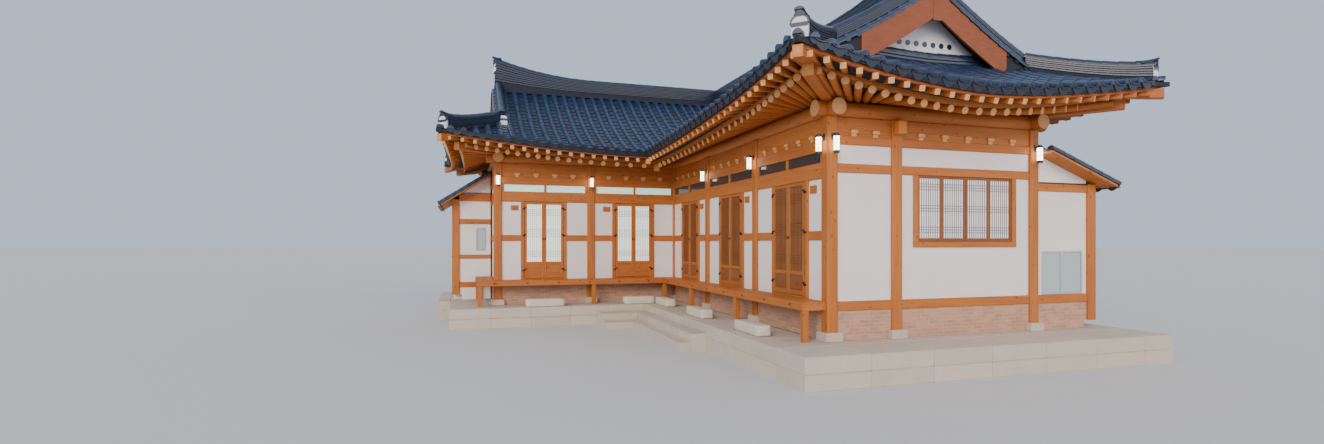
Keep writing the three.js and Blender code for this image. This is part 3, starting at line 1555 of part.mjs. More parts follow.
function makeRightLeanFrame() {
  const start = WING_DEPTH + HALF_POST + GAP;
  const x = RIGHT_LEAN_X;
  const parts = [
    face.gable(x - HALF_POST, x + HALF_POST, 0, POST, 0, 3000),
    postAt(face.rightLean, BAY, 3000),
    postAt(face.rightLean, RIGHT_LEAN_Y, 3000),
    face.gable(start, x, BEAM_FACE, BEAM_BACK, LEAN_HEAD_LOW, LEAN_HEAD_TOP),
    rightRear(start, x, BEAM_FACE, BEAM_BACK, LEAN_HEAD_LOW, LEAN_HEAD_TOP),
    face.rightLean(0, RIGHT_LEAN_Y, BEAM_FACE, BEAM_BACK, LEAN_HEAD_LOW, LEAN_HEAD_TOP),
    face.gable(start, x, BEAM_FACE, POST, SILL_LOW, SILL_TOP),
    rightRear(start, x, BEAM_FACE, POST, SILL_LOW, SILL_TOP),
    face.rightLean(0, RIGHT_LEAN_Y, BEAM_FACE, POST, SILL_LOW, SILL_TOP),
  ];
  return cut(join(parts), [abovePitch(RIGHT_PITCH, -1000, RIGHT_LEAN_Y + 1000)]);
}

function makeRightLeanWall() {
  const start = WING_DEPTH + HALF_POST + GAP;
  const x = RIGHT_LEAN_X;
  const inner = x - HALF_POST - FIELD_GAP;
  const band = (low, high) => [
    face.gable(start, inner, PLASTER_FACE, LINING_FACE + 1, low + GAP, high - GAP),
    rightRear(start, inner, PLASTER_FACE, LINING_FACE + 1, low + GAP, high - GAP),
    ...fieldsBetween(face.rightLean, [0, BAY, RIGHT_LEAN_Y], PLASTER_FACE, low + GAP, high - GAP),
  ];
  const edge = x + HALF_POST - LINING_FACE;
  const parts = [
    lining(face.gable, start, edge, WALL_LOW, 3400),
    lining(rightRear, start, edge, WALL_LOW, 3400),
    lining(face.rightLean, -HALF_POST + LINING_FACE, RIGHT_LEAN_Y + HALF_POST - LINING_FACE, WALL_LOW, 3400),
    ...band(SILL_TOP, LEAN_HEAD_LOW),
    ...band(LEAN_HEAD_TOP, 3400),
  ];
  const { u0, u1, low, high } = LEAN_WINDOW;
  return cut(join(parts), [
    abovePitch(RIGHT_PITCH, -1000, RIGHT_LEAN_Y + 1000),
    face.gable(u0, u1, 0, 400, low - 10, high),
  ]);
}

piece("right_lean_to_frame", makeRightLeanFrame(), TIMBER);
piece("right_lean_to_wall", makeRightLeanWall(), PLASTER);
piece(
  "right_lean_to_window",
  sashes(face.gable, LEAN_WINDOW.u0, LEAN_WINDOW.u1, SILL_TOP, LEAN_WINDOW.high, PLASTER_FACE - 5, 2),
  GLASS,
);

function leanRoof({ x0, z0, x1, z1 }, y0, y1) {
  return pitched(x0, z0, x1, z1, y0, y1, LEAN_THICK);
}

piece(
  "right_lean_to_roof",
  leanRoof(RIGHT_PITCH, -HALF_POST - LEAN_VERGE, RIGHT_LEAN_Y + HALF_POST + LEAN_VERGE),
  TILE,
);

// Left lean-to: [low, top] of the beams on its walls
const LEFT_BEAMS = [
  [215, 370],
  [1070, 1190],
  [2110, 2260],
  [2800, 3060],
];
const LEFT_WINDOW = { u0: -5680, u1: -5380, low: 1300, high: 2000 };

// The three walls, each a function of [d0, d1, z0, z1] and of how far its ends stay inside the posts
function leftLeanWalls() {
  const start = LEFT_X - HALF_POST - GAP;
  return [
    (sizes, inside) => face.leftLeanFront(LEFT_LEAN_X + inside, start, ...sizes),
    (sizes, inside) => face.leftLean(LEFT_LEAN_Y + inside, REAR_Y - inside, ...sizes),
    (sizes, inside) => face.rear(LEFT_LEAN_X + inside, start, ...sizes),
  ];
}

function makeLeftLeanFrame() {
  const parts = [
    postAt(face.leftLean, LEFT_LEAN_Y, 3600),
    postAt(face.leftLean, REAR_Y, 3600),
  ];
  for (const [low, high] of LEFT_BEAMS) {
    for (const wall of leftLeanWalls()) parts.push(wall([BEAM_FACE, BEAM_BACK, low, high], 0));
  }
  return cut(join(parts), [abovePitch(LEFT_PITCH, LEFT_LEAN_Y - 1000, REAR_Y + 1000)]);
}

function makeLeftLeanWall() {
  const start = LEFT_X - HALF_POST - GAP;
  const x0 = LEFT_LEAN_X - HALF_POST + LINING_FACE;
  const y0 = LEFT_LEAN_Y - HALF_POST + LINING_FACE;
  const low = STYLOBATE_TOP + GAP;
  const parts = [
    block(x0, start, y0, y0 + 50, low, 4000),
    block(x0, x0 + 50, y0, REAR_Y + HALF_POST - LINING_FACE, low, 4000),
    block(x0, start, REAR_Y + HALF_POST - LINING_BACK, REAR_Y + HALF_POST - LINING_FACE, low, 4000),
  ];
  const edges = [STYLOBATE_TOP, ...LEFT_BEAMS.flat(), 4000];
  for (let i = 0; i + 1 < edges.length; i += 2) {
    const sizes = [PLASTER_FACE, LINING_FACE + 1, edges[i] + GAP, edges[i + 1] - GAP];
    for (const wall of leftLeanWalls()) {
      parts.push(wall(sizes, HALF_POST + FIELD_GAP));
    }
  }
  const { u0, u1, low: sill, high } = LEFT_WINDOW;
  return cut(join(parts), [
    abovePitch(LEFT_PITCH, LEFT_LEAN_Y - 1000, REAR_Y + 1000),
    face.leftLeanFront(u0, u1, 0, 400, sill, high),
    plinthStones(PLINTH / 2 + GAP, STYLOBATE_TOP - 5, 0),
  ]);
}

piece("left_lean_to_frame", makeLeftLeanFrame(), TIMBER);
piece("left_lean_to_wall", makeLeftLeanWall(), PLASTER);

function leftLeanWindow() {
  const { u0, u1, low, high } = LEFT_WINDOW;
  return sashes(face.leftLeanFront, u0, u1, low, high, PLASTER_FACE, 1);
}

piece("left_lean_to_window", leftLeanWindow(), GLASS);
piece(
  "left_lean_to_roof",
  leanRoof(LEFT_PITCH, LEFT_LEAN_Y - HALF_POST - LEAN_VERGE, REAR_Y + HALF_POST + LEAN_VERGE),
  TILE,
);

// Wall lamps on brackets: [name, wall, u, low]
const LAMP_RADIUS = 55;
const LAMP_HEIGHT = 350;
const LAMP_OUT = -110;

function lamp(wall, u, low) {
  const probe = wall(u - 1, u + 1, LAMP_OUT - 1, LAMP_OUT + 1, low, low + 1).boundingBox();
  const body = new THREE.CylinderGeometry(LAMP_RADIUS, LAMP_RADIUS, LAMP_HEIGHT, 8);
  body.rotateX(Math.PI / 2);
  body.translate(
    (probe.min[0] + probe.max[0]) / 2,
    (probe.min[1] + probe.max[1]) / 2,
    low + LAMP_HEIGHT / 2,
  );
  const arm = wall(u - 20, u + 20, LAMP_OUT, -GAP, low + 230, low + 290);
  return join([solidOf(body), arm]);
}

const LAMP_LOW = 3080;
const lamps = [
  ["lamp_near_post_court", face.right, 0],
  ["lamp_near_post_gable", face.gable, 0],
  ["lamp_second_post", face.right, BAY],
  ["lamp_third_post", face.right, 2 * BAY],
  ["lamp_left_wing_middle", face.left, -LEFT_BAY],
  ["lamp_left_wing_end", face.left, LEFT_X],
  ["lamp_gable_far_post", face.gable, WING_DEPTH],
];
for (const [name, wall, u] of lamps) {
  piece(name, lamp(wall, u, LAMP_LOW), LAMP);
}

export default model;
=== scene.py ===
"""A hanok house with two wings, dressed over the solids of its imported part."""

import math
import random
from functools import partial

import bmesh
import bpy
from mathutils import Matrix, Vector


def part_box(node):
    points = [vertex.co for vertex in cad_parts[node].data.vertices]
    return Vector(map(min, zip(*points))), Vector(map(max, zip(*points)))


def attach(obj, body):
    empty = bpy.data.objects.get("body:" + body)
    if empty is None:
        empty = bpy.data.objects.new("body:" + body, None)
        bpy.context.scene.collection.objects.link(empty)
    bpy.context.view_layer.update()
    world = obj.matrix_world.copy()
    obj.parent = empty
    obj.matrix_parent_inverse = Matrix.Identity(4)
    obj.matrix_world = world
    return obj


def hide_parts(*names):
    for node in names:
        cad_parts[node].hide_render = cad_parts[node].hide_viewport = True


bl_info = {
    "name": "Hanok House",
    "version": (1, 0, 0),
    "blender": (4, 5, 0),
    "location": "View3D > Sidebar > Hanok",
    "description": "Builds the stonework, timber, doors, walls, tiles and lamps of a two-winged hanok",
    "category": "Object",
}

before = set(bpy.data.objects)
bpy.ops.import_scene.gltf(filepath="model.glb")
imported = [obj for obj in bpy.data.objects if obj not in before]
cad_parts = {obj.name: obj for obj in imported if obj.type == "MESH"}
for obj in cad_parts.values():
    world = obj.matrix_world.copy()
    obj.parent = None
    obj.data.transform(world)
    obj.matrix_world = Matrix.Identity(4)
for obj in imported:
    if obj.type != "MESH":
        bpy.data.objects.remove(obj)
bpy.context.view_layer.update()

UP = Vector((0, 0, 1))
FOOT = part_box("brick_base")[0].z + 0.15  # the posts' feet stand 0.15 over the platform's top

# Driving dimensions in metres; heights count from the posts' feet
POST = 0.21
HALF = POST / 2
BAY = 2.75
DEPTH = 4.5
INNER_Y = 3 * BAY
REAR_Y = INNER_Y + DEPTH
LEFT_BAY = 2.575
LEFT_X = -2 * LEFT_BAY
SIDE_Y = INNER_Y + DEPTH / 2
SILL_LOW, SILL_TOP = 0.367, 0.533
HEAD_LOW, HEAD_TOP = 2.68, 2.961
TIE_LOW, TIE_TOP = 3.15, 3.36
PLATE_TOP = 3.7348
RAIL_LOW, RAIL_TOP = 1.60, 1.76
BEAM_FACE, BEAM_BACK, TIE_BACK = 0.025, 0.155, 0.185
JAMB = 0.095
OVERHANG = 1.35
HALF_SPAN = 3.6
PURLIN_AXIS = 3.87
RIDGE_SURFACE = 6.3
CORNER_REACH = 0.2
GABLE_FOOT = 0.27  # from the gable overhang to where its wall stands on the slope
TILE_RISE = 0.14


class Wall:
    """A wall line: u runs along it, and d runs inwards from the posts' outer side."""

    def __init__(self, runs_along_x, face, inward):
        self.runs_along_x = runs_along_x
        self.face = face
        self.inward = inward

    def point(self, u, d, z):
        depth = self.face + self.inward * d
        return Vector((u, depth, z + FOOT)) if self.runs_along_x else Vector((depth, u, z + FOOT))

    def out(self):
        """The direction that the wall faces."""
        return Vector((0, -self.inward, 0)) if self.runs_along_x else Vector((-self.inward, 0, 0))

    def bar(self, shape, u0, u1, d0, d1, z0, z1, **look):
        shape.block(self.point(u0, d0, z0), self.point(u1, d1, z1), **look)


WALLS = {
    "right": Wall(False, -HALF, 1),
    "gable": Wall(True, -HALF, 1),
    "left": Wall(True, INNER_Y - HALF, 1),
    "left_end": Wall(False, LEFT_X - HALF, 1),
    "rear": Wall(True, REAR_Y + HALF, -1),
    "back": Wall(False, DEPTH + HALF, -1),
    "right_lean": Wall(False, 6.0 + HALF, -1),
    "right_lean_rear": Wall(True, 2 * BAY + HALF, -1),
    "left_lean": Wall(False, -6.365, 1),
    "left_lean_front": Wall(True, 10.195, 1),
}

POSTS = {
    "right": [0, BAY, 2 * BAY, 3 * BAY],
    "gable": [0, 1.33, DEPTH],
    "left": [0, -LEFT_BAY, LEFT_X],
    "left_end": [INNER_Y, 10.5, REAR_Y],
    "rear": [DEPTH, 2.25, 0, -LEFT_BAY, LEFT_X],
    "back": [0, BAY, 2 * BAY, 3 * BAY, 10.5, REAR_Y],
}
RIGHT_DOORS = [y + 1.292 for y in POSTS["right"][:3]]
LEFT_DOORS = [-3.9, -1.32]
RIGHT_PAIR, LEFT_PAIR = 1.21, 1.07


def mix(a, b, t):
    return a + (b - a) * t


def spread(start, end, count):
    """count + 1 even values from start to end."""
    return [mix(start, end, i / count) for i in range(count + 1)]


# Closed solids


def octagon(half_x, half_y, cut):
    """A rectangle with its corners cut."""
    in_x, in_y = half_x - cut, half_y - cut
    right = [(half_x, -in_y), (half_x, in_y), (in_x, half_y)]
    left = [(-in_x, half_y), (-half_x, in_y), (-half_x, -in_y)]
    return right + left + [(-in_x, -half_y), (in_x, -half_y)]


def arc(radius, turns):
    return [(radius * math.cos(a), radius * math.sin(a)) for a in turns]


def ring(radius, sides):
    return arc(radius, [math.tau * (i + 0.5) / sides for i in range(sides)])


class Shape:
    """Closed solids gathered into one mesh, with a UV in metres, a tone and a material number."""

    def __init__(self, seed=1):
        self.points = []
        self.faces = []
        self.uvs = []
        self.paints = []
        self.tones = []
        self.random = random.Random(seed)

    def add(self, points, faces, uvs, paints):
        base = len(self.points)
        self.points += points
        self.tones += [self.random.random()] * len(points)
        self.faces += [[base + i for i in face] for face in faces]
        for face_uvs in uvs:
            self.uvs += face_uvs
        self.paints += paints

    def sweep(self, stations, section, paint=0, end=None):
        """A section carried along stations of (centre, across, up), with both ends closed."""
        count = len(section)
        points = []
        for centre, across, up in stations:
            points += [centre + across * x + up * y for x, y in section]
        run, rim = [0.0], [0.0]
        for k in range(len(stations) - 1):
            run.append(run[-1] + (stations[k + 1][0] - stations[k][0]).length)
        for j in range(count):
            rim.append(rim[-1] + math.dist(section[j], section[(j + 1) % count]))
        start = self.random.random() * 9
        faces, uvs, paints = [], [], []
        for k in range(len(stations) - 1):
            for j in range(count):
                a, b = k * count + j, k * count + (j + 1) % count
                faces.append((a, b, b + count, a + count))
                u0, u1, v0, v1 = run[k] + start, run[k + 1] + start, rim[j], rim[j + 1]
                uvs.append([(u0, v0), (u0, v1), (u1, v1), (u1, v0)])
                paints.append(paint)
        last = count * (len(stations) - 1)
        faces.append(tuple(reversed(range(count))))
        faces.append(tuple(last + j for j in range(count)))
        uvs.append([section[j] for j in reversed(range(count))])
        uvs.append(list(section))
        paints += [paint if end is None else end] * 2
        self.add(points, faces, uvs, paints)

    def block(self, a, b, chamfer=0.005, paint=0, end=None):
        """An upright box between two corners, chamfered along its longest side."""
        low = Vector(map(min, a, b))
        size = Vector(map(max, a, b)) - low
        k = max(range(3), key=lambda n: size[n])
        i, j = (k + 1) % 3, (k + 2) % 3
        cut = min(chamfer, size[i] * 0.3, size[j] * 0.3)
        across = Vector([float(n == i) for n in range(3)])
        up = Vector([float(n == j) for n in range(3)])
        start = low + size / 2
        start[k] = low[k]
        far = start.copy()
        far[k] = low[k] + size[k]
        section = octagon(size[i] / 2, size[j] / 2, cut)
        self.sweep([(start, across, up), (far, across, up)], section, paint, end)

    def member(self, p, q, width, height, chamfer=0.006, paint=0, end=None):
        """A straight member from p to q, its sides upright."""
        along = (q - p).normalized()
        across = along.cross(UP).normalized()
        up = across.cross(along)
        section = octagon(width / 2, height / 2, chamfer)
        self.sweep([(p, across, up), (q, across, up)], section, paint, end)

    def rod(self, p, q, radius, sides=12, paint=0, end=None, taper=1.0):
        along = (q - p).normalized()
        side = UP if abs(along.z) < 0.9 else Vector((1, 0, 0))
        across = along.cross(side).normalized()
        up = across.cross(along)
        stations = [(p, across * taper, up * taper), (q, across, up)]
        self.sweep(stations, ring(radius, sides), paint, end)

    def band(self, marks, cut, paint=0, end=None):
        """A flat-sided band along marks of (centre, across at its full width, height)."""
        stations = [(centre, across, UP * height) for centre, across, height in marks]
        self.sweep(stations, octagon(0.5, 0.5, cut), paint, end)

    def sheet(self, rows, paint=0):
        """A closed sheet over rows of (x, y, high, low)."""
        columns = len(rows[0])
        points = []
        for row in rows:
            for x, y, high, low in row:
                points += [Vector((x, y, high)), Vector((x, y, low))]
        faces = []
        for i in range(len(rows) - 1):
            for j in range(columns - 1):
                a, b = 2 * (i * columns + j), 2 * ((i + 1) * columns + j)
                faces += [(a, b, b + 2, a + 2), (a + 1, a + 3, b + 3, b + 1)]
            a, b = 2 * i * columns, 2 * (i + 1) * columns
            faces.append((a, a + 1, b + 1, b))
            a, b = a + 2 * columns - 2, b + 2 * columns - 2
            faces.append((b, b + 1, a + 1, a))
        last = 2 * (len(rows) - 1) * columns
        for j in range(0, 2 * columns - 2, 2):
            faces.append((j + 2, j + 3, j + 1, j))
            faces.append((last + j, last + j + 1, last + j + 3, last + j + 2))
        uvs = [[(points[n].x + points[n].z, points[n].y + points[n].z) for n in face] for face in faces]
        self.add(points, faces, uvs, [paint] * len(faces))

    def build(self, name, finishes, slot, *nodes, body="house", smooth_under=None):
        """The gathered solids as one placed piece; edges sharper than the angle stay sharp."""
        mesh = bpy.data.meshes.new(name)
        mesh.from_pydata(self.points, [], self.faces)
        layer = mesh.uv_layers.new(name="UVMap")
        layer.data.foreach_set("uv", [value for uv in self.uvs for value in uv])
        mesh.polygons.foreach_set("material_index", self.paints)
        tone = mesh.attributes.new("tone", "FLOAT", "POINT")
        tone.data.foreach_set("value", self.tones)
        for finish_name in finishes:
            mesh.materials.append(finish(finish_name))
        close(mesh, smooth_under)
        place(show(name, mesh), slot, *nodes, body=body)


def close(mesh, smooth_under=None):
    """Turns the faces outwards and smooths the edges that are flatter than the angle."""
    work = bmesh.new()
    work.from_mesh(mesh)
    bmesh.ops.recalc_face_normals(work, faces=work.faces)
    work.to_mesh(mesh)
    work.free()
    if smooth_under:
        mesh.polygons.foreach_set("use_smooth", [True] * len(mesh.polygons))
        mesh.set_sharp_from_angle(angle=math.radians(smooth_under))


def show(name, data):
    """An object of the data, at the origin of the scene."""
    made = bpy.data.objects.new(name.replace(" ", "_"), data)
    bpy.context.scene.collection.objects.link(made)
    return made


def place(piece, slot, *nodes, body="house"):
    """Rides the piece on its body and, where nodes are named, shows it in their stead."""
    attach(piece, body)
    if nodes:
        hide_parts(*nodes)


def dress(finish_name, *nodes):
    """Gives nodes of the part their finish."""
    for node in nodes:
        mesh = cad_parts[node].data
        mesh.materials.clear()
        mesh.materials.append(finish(finish_name))


# Materials


class Term:
    """A socket that takes part in arithmetic, which adds the Math nodes."""

    def __init__(self, paint, socket):
        self.paint = paint
        self.socket = socket

    def __add__(self, other):
        return self.paint.math("ADD", self, other)

    __radd__ = __add__

    def __mul__(self, other):
        return self.paint.math("MULTIPLY", self, other)

    __rmul__ = __mul__

    def __sub__(self, other):
        return self.paint.math("SUBTRACT", self, other)

    def __rsub__(self, other):
        return self.paint.math("SUBTRACT", other, self)

    def __truediv__(self, other):
        return self.paint.math("DIVIDE", self, other)

    def __lt__(self, other):
        return self.paint.math("LESS_THAN", self, other)


def add_node(tree, kind, settings=None, values=None):
    """A node with its settings, which are set first, and the values or links of its sockets."""
    made = tree.nodes.new(kind)
    for name, value in (settings or {}).items():
        setattr(made, name, value)
    for key, value in (values or {}).items():
        feed(tree, made.inputs[key], value)
    return made


def feed(tree, socket, value):
    """Links the value to the socket, or sets it there."""
    value = getattr(value, "socket", value)
    if isinstance(value, bpy.types.NodeSocket):
        tree.links.new(value, socket)
    else:
        socket.default_value = value


class Paint:
    """A material and the nodes that its pattern is written with."""

    def __init__(self, name, fixed=None):
        self.material = bpy.data.materials.new(name)
        self.material.use_nodes = True
        self.node = partial(add_node, self.material.node_tree)
        self.shader = self.material.node_tree.nodes["Principled BSDF"]
        for socket, value in (fixed or {}).items():
            self.shader.inputs[socket].default_value = value

    def math(self, operation, *values):
        made = self.node("ShaderNodeMath", {"operation": operation}, dict(enumerate(values)))
        return Term(self, made.outputs[0])

    def clamp(self, value):
        made = self.node("ShaderNodeClamp", None, {"Value": value})
        return Term(self, made.outputs[0])

    def place(self):
        """The object's own coordinates as (x, y, z)."""
        made = self.node("ShaderNodeTexCoord")
        return self.split(Term(self, made.outputs["Object"]))

    def surface(self):
        """The piece's UV map as (u, v)."""
        made = self.node("ShaderNodeUVMap", {"uv_map": "UVMap"})
        return self.split(Term(self, made.outputs["UV"]))[:2]

    def split(self, vector):
        made = self.node("ShaderNodeSeparateXYZ", None, {0: vector})
        return [Term(self, made.outputs[n]) for n in range(3)]

    def vector(self, x, y, z=0.0):
        made = self.node("ShaderNodeCombineXYZ", None, {0: x, 1: y, 2: z})
        return Term(self, made.outputs[0])

    def tone(self):
        made = self.node("ShaderNodeAttribute", {"attribute_name": "tone"})
        return Term(self, made.outputs["Fac"])

    def noise(self, vector, scale=1.0, detail=3.0, rough=0.5):
        values = {"Vector": vector, "Scale": scale, "Detail": detail, "Roughness": rough}
        made = self.node("ShaderNodeTexNoise", None, values)
        return Term(self, made.outputs[0])

    def cells(self, vector):
        """Distance to the nearest of a scatter of points."""
        made = self.node("ShaderNodeTexVoronoi", None, {"Vector": vector, "Scale": 1.0})
        return Term(self, made.outputs["Distance"])

    def blend(self, factor, a, b):
        """Two colours mixed by the factor."""
        made = self.node("ShaderNodeMix", {"data_type": "RGBA"}, {0: factor, 6: a, 7: b})
        return Term(self, made.outputs[2])

    def bump(self, height, strength, distance):
        values = {"Height": height, "Strength": strength, "Distance": distance}
        made = self.node("ShaderNodeBump", None, values)
        return Term(self, made.outputs[0])

    def finish(self, **looks):
        """Feeds the shader's sockets, named in lower case with underscores, and returns the material."""
        for name, value in looks.items():
            feed(self.material.node_tree, self.shader.inputs[name.replace("_", " ").title()], value)
        return self.material


def rgb(red, green, blue):
    return (red, green, blue, 1.0)


def toned(colour, factor):
    """The colour made darker or lighter."""
    return [min(c * factor, 1.0) for c in colour[:3]] + [1.0]


def wood(name, light, dark, grain=0.5, rough=0.5):
    """Timber whose grain follows the UV map's first direction, with knots and a tone for each member."""
    p = Paint(name)
    u, v = p.surface()
    tone = p.tone()
    lines = p.noise(p.vector(u * 1.4, v * 34, tone * 31), 1.0, 5.0, 0.6)
    broad = p.noise(p.vector(u * 0.7, v * 6, tone * 17), 1.0, 2.0)
    knot = p.clamp(2.2 - p.cells(p.vector(u * 4.5, v * 7.5, tone * 23)) * 13)
    fibre = p.clamp((lines - 0.5) * 2.2 * grain + broad * 0.9)
    colour = p.blend(fibre, dark, light)
    colour = p.blend(p.clamp(tone * 0.28), colour, dark)
    colour = p.blend(knot * 0.7, colour, toned(dark, 0.35))
    return p.finish(
        base_color=colour,
        roughness=rough + lines * 0.2,
        normal=p.bump(lines - knot * 0.4, 0.35, 0.004),
    )


def end_grain(name, light, dark):
    """The rings at a member's cut ends, round the middle of its section."""
    p = Paint(name)
    u, v = p.surface()
    distance = p.math("SQRT", u * u + v * v)
    wobble = p.noise(p.vector(u * 9, v * 9, p.tone() * 11), 1.0, 2.0)
    rings = p.math("SINE", (distance + wobble * 0.012) * 620) * 0.5 + 0.5
    colour = p.blend(p.clamp(rings * 0.55 + distance * 1.5), light, dark)
    return p.finish(base_color=colour, roughness=0.7)


def plaster(name, colour):
    p = Paint(name)
    x, y, z = p.place()
    spot = p.vector(x, y, z)
    cloud = p.noise(spot, 1.7, 3.0)
    fine = p.noise(spot, 60.0, 2.0)
    shade = p.blend(p.clamp(cloud * 1.1 - 0.15), colour, toned(colour, 0.9))
    return p.finish(base_color=shade, roughness=0.9, normal=p.bump(fine, 0.12, 0.003))


def stone(name, light, dark):
    """Granite: fine speckles over slow clouds, with a tone for each block."""
    p = Paint(name)
    x, y, z = p.place()
    spot = p.vector(x, y, z)
    speckle = p.noise(spot, 160.0, 3.0, 0.7)
    cloud = p.noise(spot, 3.0, 3.0)
    colour = p.blend(p.clamp(speckle * 1.9 - 0.5), dark, light)
    colour = p.blend(p.clamp(cloud * 0.5 + p.tone() * 0.35 - 0.15), colour, dark)
    rough = p.noise(spot, 26.0, 4.0)
    return p.finish(base_color=colour, roughness=0.85, normal=p.bump(rough + speckle * 0.4, 0.4, 0.006))


def brickwork(name, light, dark, mortar):
    """Running bond on every upright face, whichever way the wall runs."""
    p = Paint(name)
    x, y, z = p.place()
    along = x + y
    values = {"Vector": p.vector(along, z), "Color1": light, "Color2": dark, "Mortar": mortar}
    values |= {"Scale": 1.0, "Brick Width": 0.2, "Row Height": 0.067}
    values |= {"Mortar Size": 0.005, "Mortar Smooth": 0.2, "Bias": -0.1}
    bricks = p.node("ShaderNodeTexBrick", {"offset": 0.5}, values)
    colour = Term(p, bricks.outputs["Color"])
    joint = Term(p, bricks.outputs["Fac"])
    stain = p.noise(p.vector(x, y, z), 14.0, 4.0)
    shaded = p.blend(p.clamp(stain * 0.5 - 0.05), colour, toned(dark, 0.6))
    return p.finish(base_color=shaded, roughness=0.9, normal=p.bump(stain * 0.25 - joint, 0.6, 0.006))


def fired_clay(name, light, dark, rough):
    """Roof tile: smoked clay with a tone for each tile."""
    p = Paint(name, {"Coat Roughness": 0.35})
    x, y, z = p.place()
    spot = p.vector(x, y, z)
    cloud = p.noise(spot, 2.2, 4.0)
    fine = p.noise(spot, 45.0, 3.0)
    colour = p.blend(p.clamp(cloud * 0.7 + p.tone() * 0.5 - 0.1), dark, light)
    return p.finish(
        base_color=colour,
        roughness=rough + fine * 0.18,
        coat_weight=p.clamp(0.5 - cloud * 0.3),
        normal=p.bump(fine, 0.2, 0.003),
    )


def plain(name, colour, rough=0.5, metal=0.0):
    return Paint(name, {"Base Color": colour, "Roughness": rough, "Metallic": metal}).material


def paper(name, colour, glow, strength):
    """Mulberry paper, with its fibres, glowing by its emission: painted light on every finish but the
    lamp glass.
    """
    p = Paint(name, {"Emission Strength": strength})
    x, y, z = p.place()
    fibre = p.noise(p.vector(x * 30, y * 30, z * 9), 3.0, 4.0, 0.7)
    shade = p.blend(fibre * 0.35, colour, toned(colour, 0.8))
    light = p.blend(fibre * 0.25, glow, toned(glow, 0.8))
    return p.finish(base_color=shade, roughness=0.8, emission_color=light)


# The roof's own shape, as the part's slopes have it

BOARDS_END, ATTIC_START = 1.0, 1.4  # where the slope's underside leaves the eave, and meets the attic


class Side:
    """One eave: s runs along it from its first corner and d runs inwards, both in plan."""

    def __init__(self, start, along, inward, length, low, rise, reach, ends):
        self.start = Vector((*start, 0))
        self.along = Vector((*along, 0))
        self.inward = Vector((*inward, 0))
        self.length = length
        self.low = low
        self.rise = rise
        self.reach = reach
        self.ends = ends

    def plan(self, s, d):
        return self.start + self.along * s + self.inward * d

    def eave(self, s):
        """Height of the tiles' lower edge."""
        height = self.low
        for k, distance in enumerate((max(s, 0), max(self.length - s, 0))):
            if self.ends[k] == "hip":
                near = max(1 - distance / self.reach, 0)
                height += (self.rise[k] - self.low) * near**1.6
        return height

    def corner(self, s):
        """How far the eave's edge stands out, more towards an outer corner."""
        out = 0
        for k, distance in enumerate((s, self.length - s)):
            if self.ends[k] == "hip":
                near = max(1 - max(distance + CORNER_REACH, 0) / 3.8, 0)
                out += CORNER_REACH * near**2
        return out

    def top(self, s, d):
        edge = self.eave(s) + TILE_RISE
        t = max(d, 0) / HALF_SPAN
        return edge + (RIDGE_SURFACE - edge) * (0.65 * t + 0.35 * t * t)

    def under(self, s, d):
        edge = self.eave(s) - 0.01 - 0.1 * min(max(d, 0), BOARDS_END)
        if d <= BOARDS_END:
            return edge
        t = max(d - ATTIC_START, 0) / (HALF_SPAN - ATTIC_START)
        low = self.top(s, max(d, ATTIC_START)) - 0.45 + 0.19 * t
        return low if d >= ATTIC_START else mix(edge, low, (d - BOARDS_END) / 0.4)

    def under_gable(self):
        """The two short slopes end at the foot of a gable wall."""
        return self.length < 8 and self.ends == ("hip", "hip")

    def span(self, s):
        """Where the slope starts and ends at s, from the eave's edge inwards."""
        first = -self.corner(s)
        past = s - self.length
        if self.ends[1] == "valley" and past > 0:
            return past, HALF_SPAN
        if self.under_gable():
            return first, min(OVERHANG + GABLE_FOOT, s, self.length - s)
        if s < OVERHANG:
            return first, s
        if self.ends[1] == "hip":
            return first, min(HALF_SPAN, self.length - s)
        return first, HALF_SPAN

    def point(self, s, d, lift=0.0):
        return self.plan(s, d) + UP * (self.top(s, d) + lift + FOOT)


SIDES = {
    "court": Side((-1.35, -1.35), (0, 1), (1, 0), 8.25, 3.92, (4.46, 4.46), 8.25, ("hip", "valley")),
    "front": Side((-6.5, 6.9), (1, 0), (0, 1), 5.15, 3.92, (4.27, 4.27), 5.15, ("hip", "valley")),
    "gable": Side((-1.35, -1.35), (1, 0), (0, 1), 7.2, 4.03, (4.46, 4.37), 3.6, ("hip", "hip")),
    "left_end": Side((-6.5, 6.9), (0, 1), (1, 0), 7.2, 3.98, (4.27, 4.27), 3.6, ("hip", "hip")),
    "back": Side((5.85, -1.35), (0, 1), (-1, 0), 15.45, 3.93, (4.37, 4.33), 7.0, ("hip", "hip")),
    "rear": Side((-6.5, 14.1), (1, 0), (0, -1), 12.35, 3.93, (4.27, 4.33), 6.0, ("hip", "hip")),
}
HIP_PAST, VALLEY_PAST = 0.066, 0.12  # how far the last rafters stand past a corner
LOWER_AT, TAIL_AT = 0.243, 0.595  # where a lower rafter starts and a flying rafter ends, as shares
LOG_DROP, FLY_DROP = 0.295, 0.16  # from the eave's edge down to each tier's underside
LOG_DEPTH, TAIL_LIFT = 0.175, 0.09  # a log with its boards, and a flying rafter's tail over them
VALLEY_FAN = 1.2  # the rafters turn within this distance of the valley
EDGE_BACK = 0.06  # the bed stays this far behind the edge, under the eave tiles


def slope_bed(shape, side, places):
    """The clay bed and boards of one slope, which the tiles lie on."""
    rows = []
    for s in places:
        start, end = side.span(s)
        start = min(start + EDGE_BACK, end - 0.02)
        row = []
        for d in spread(start, end, 8):
            spot = side.plan(s, d)
            row.append((spot.x, spot.y, side.top(s, d) - 0.07 + FOOT, side.under(s, d) + FOOT))
        rows.append(row)
    shape.sheet(rows)


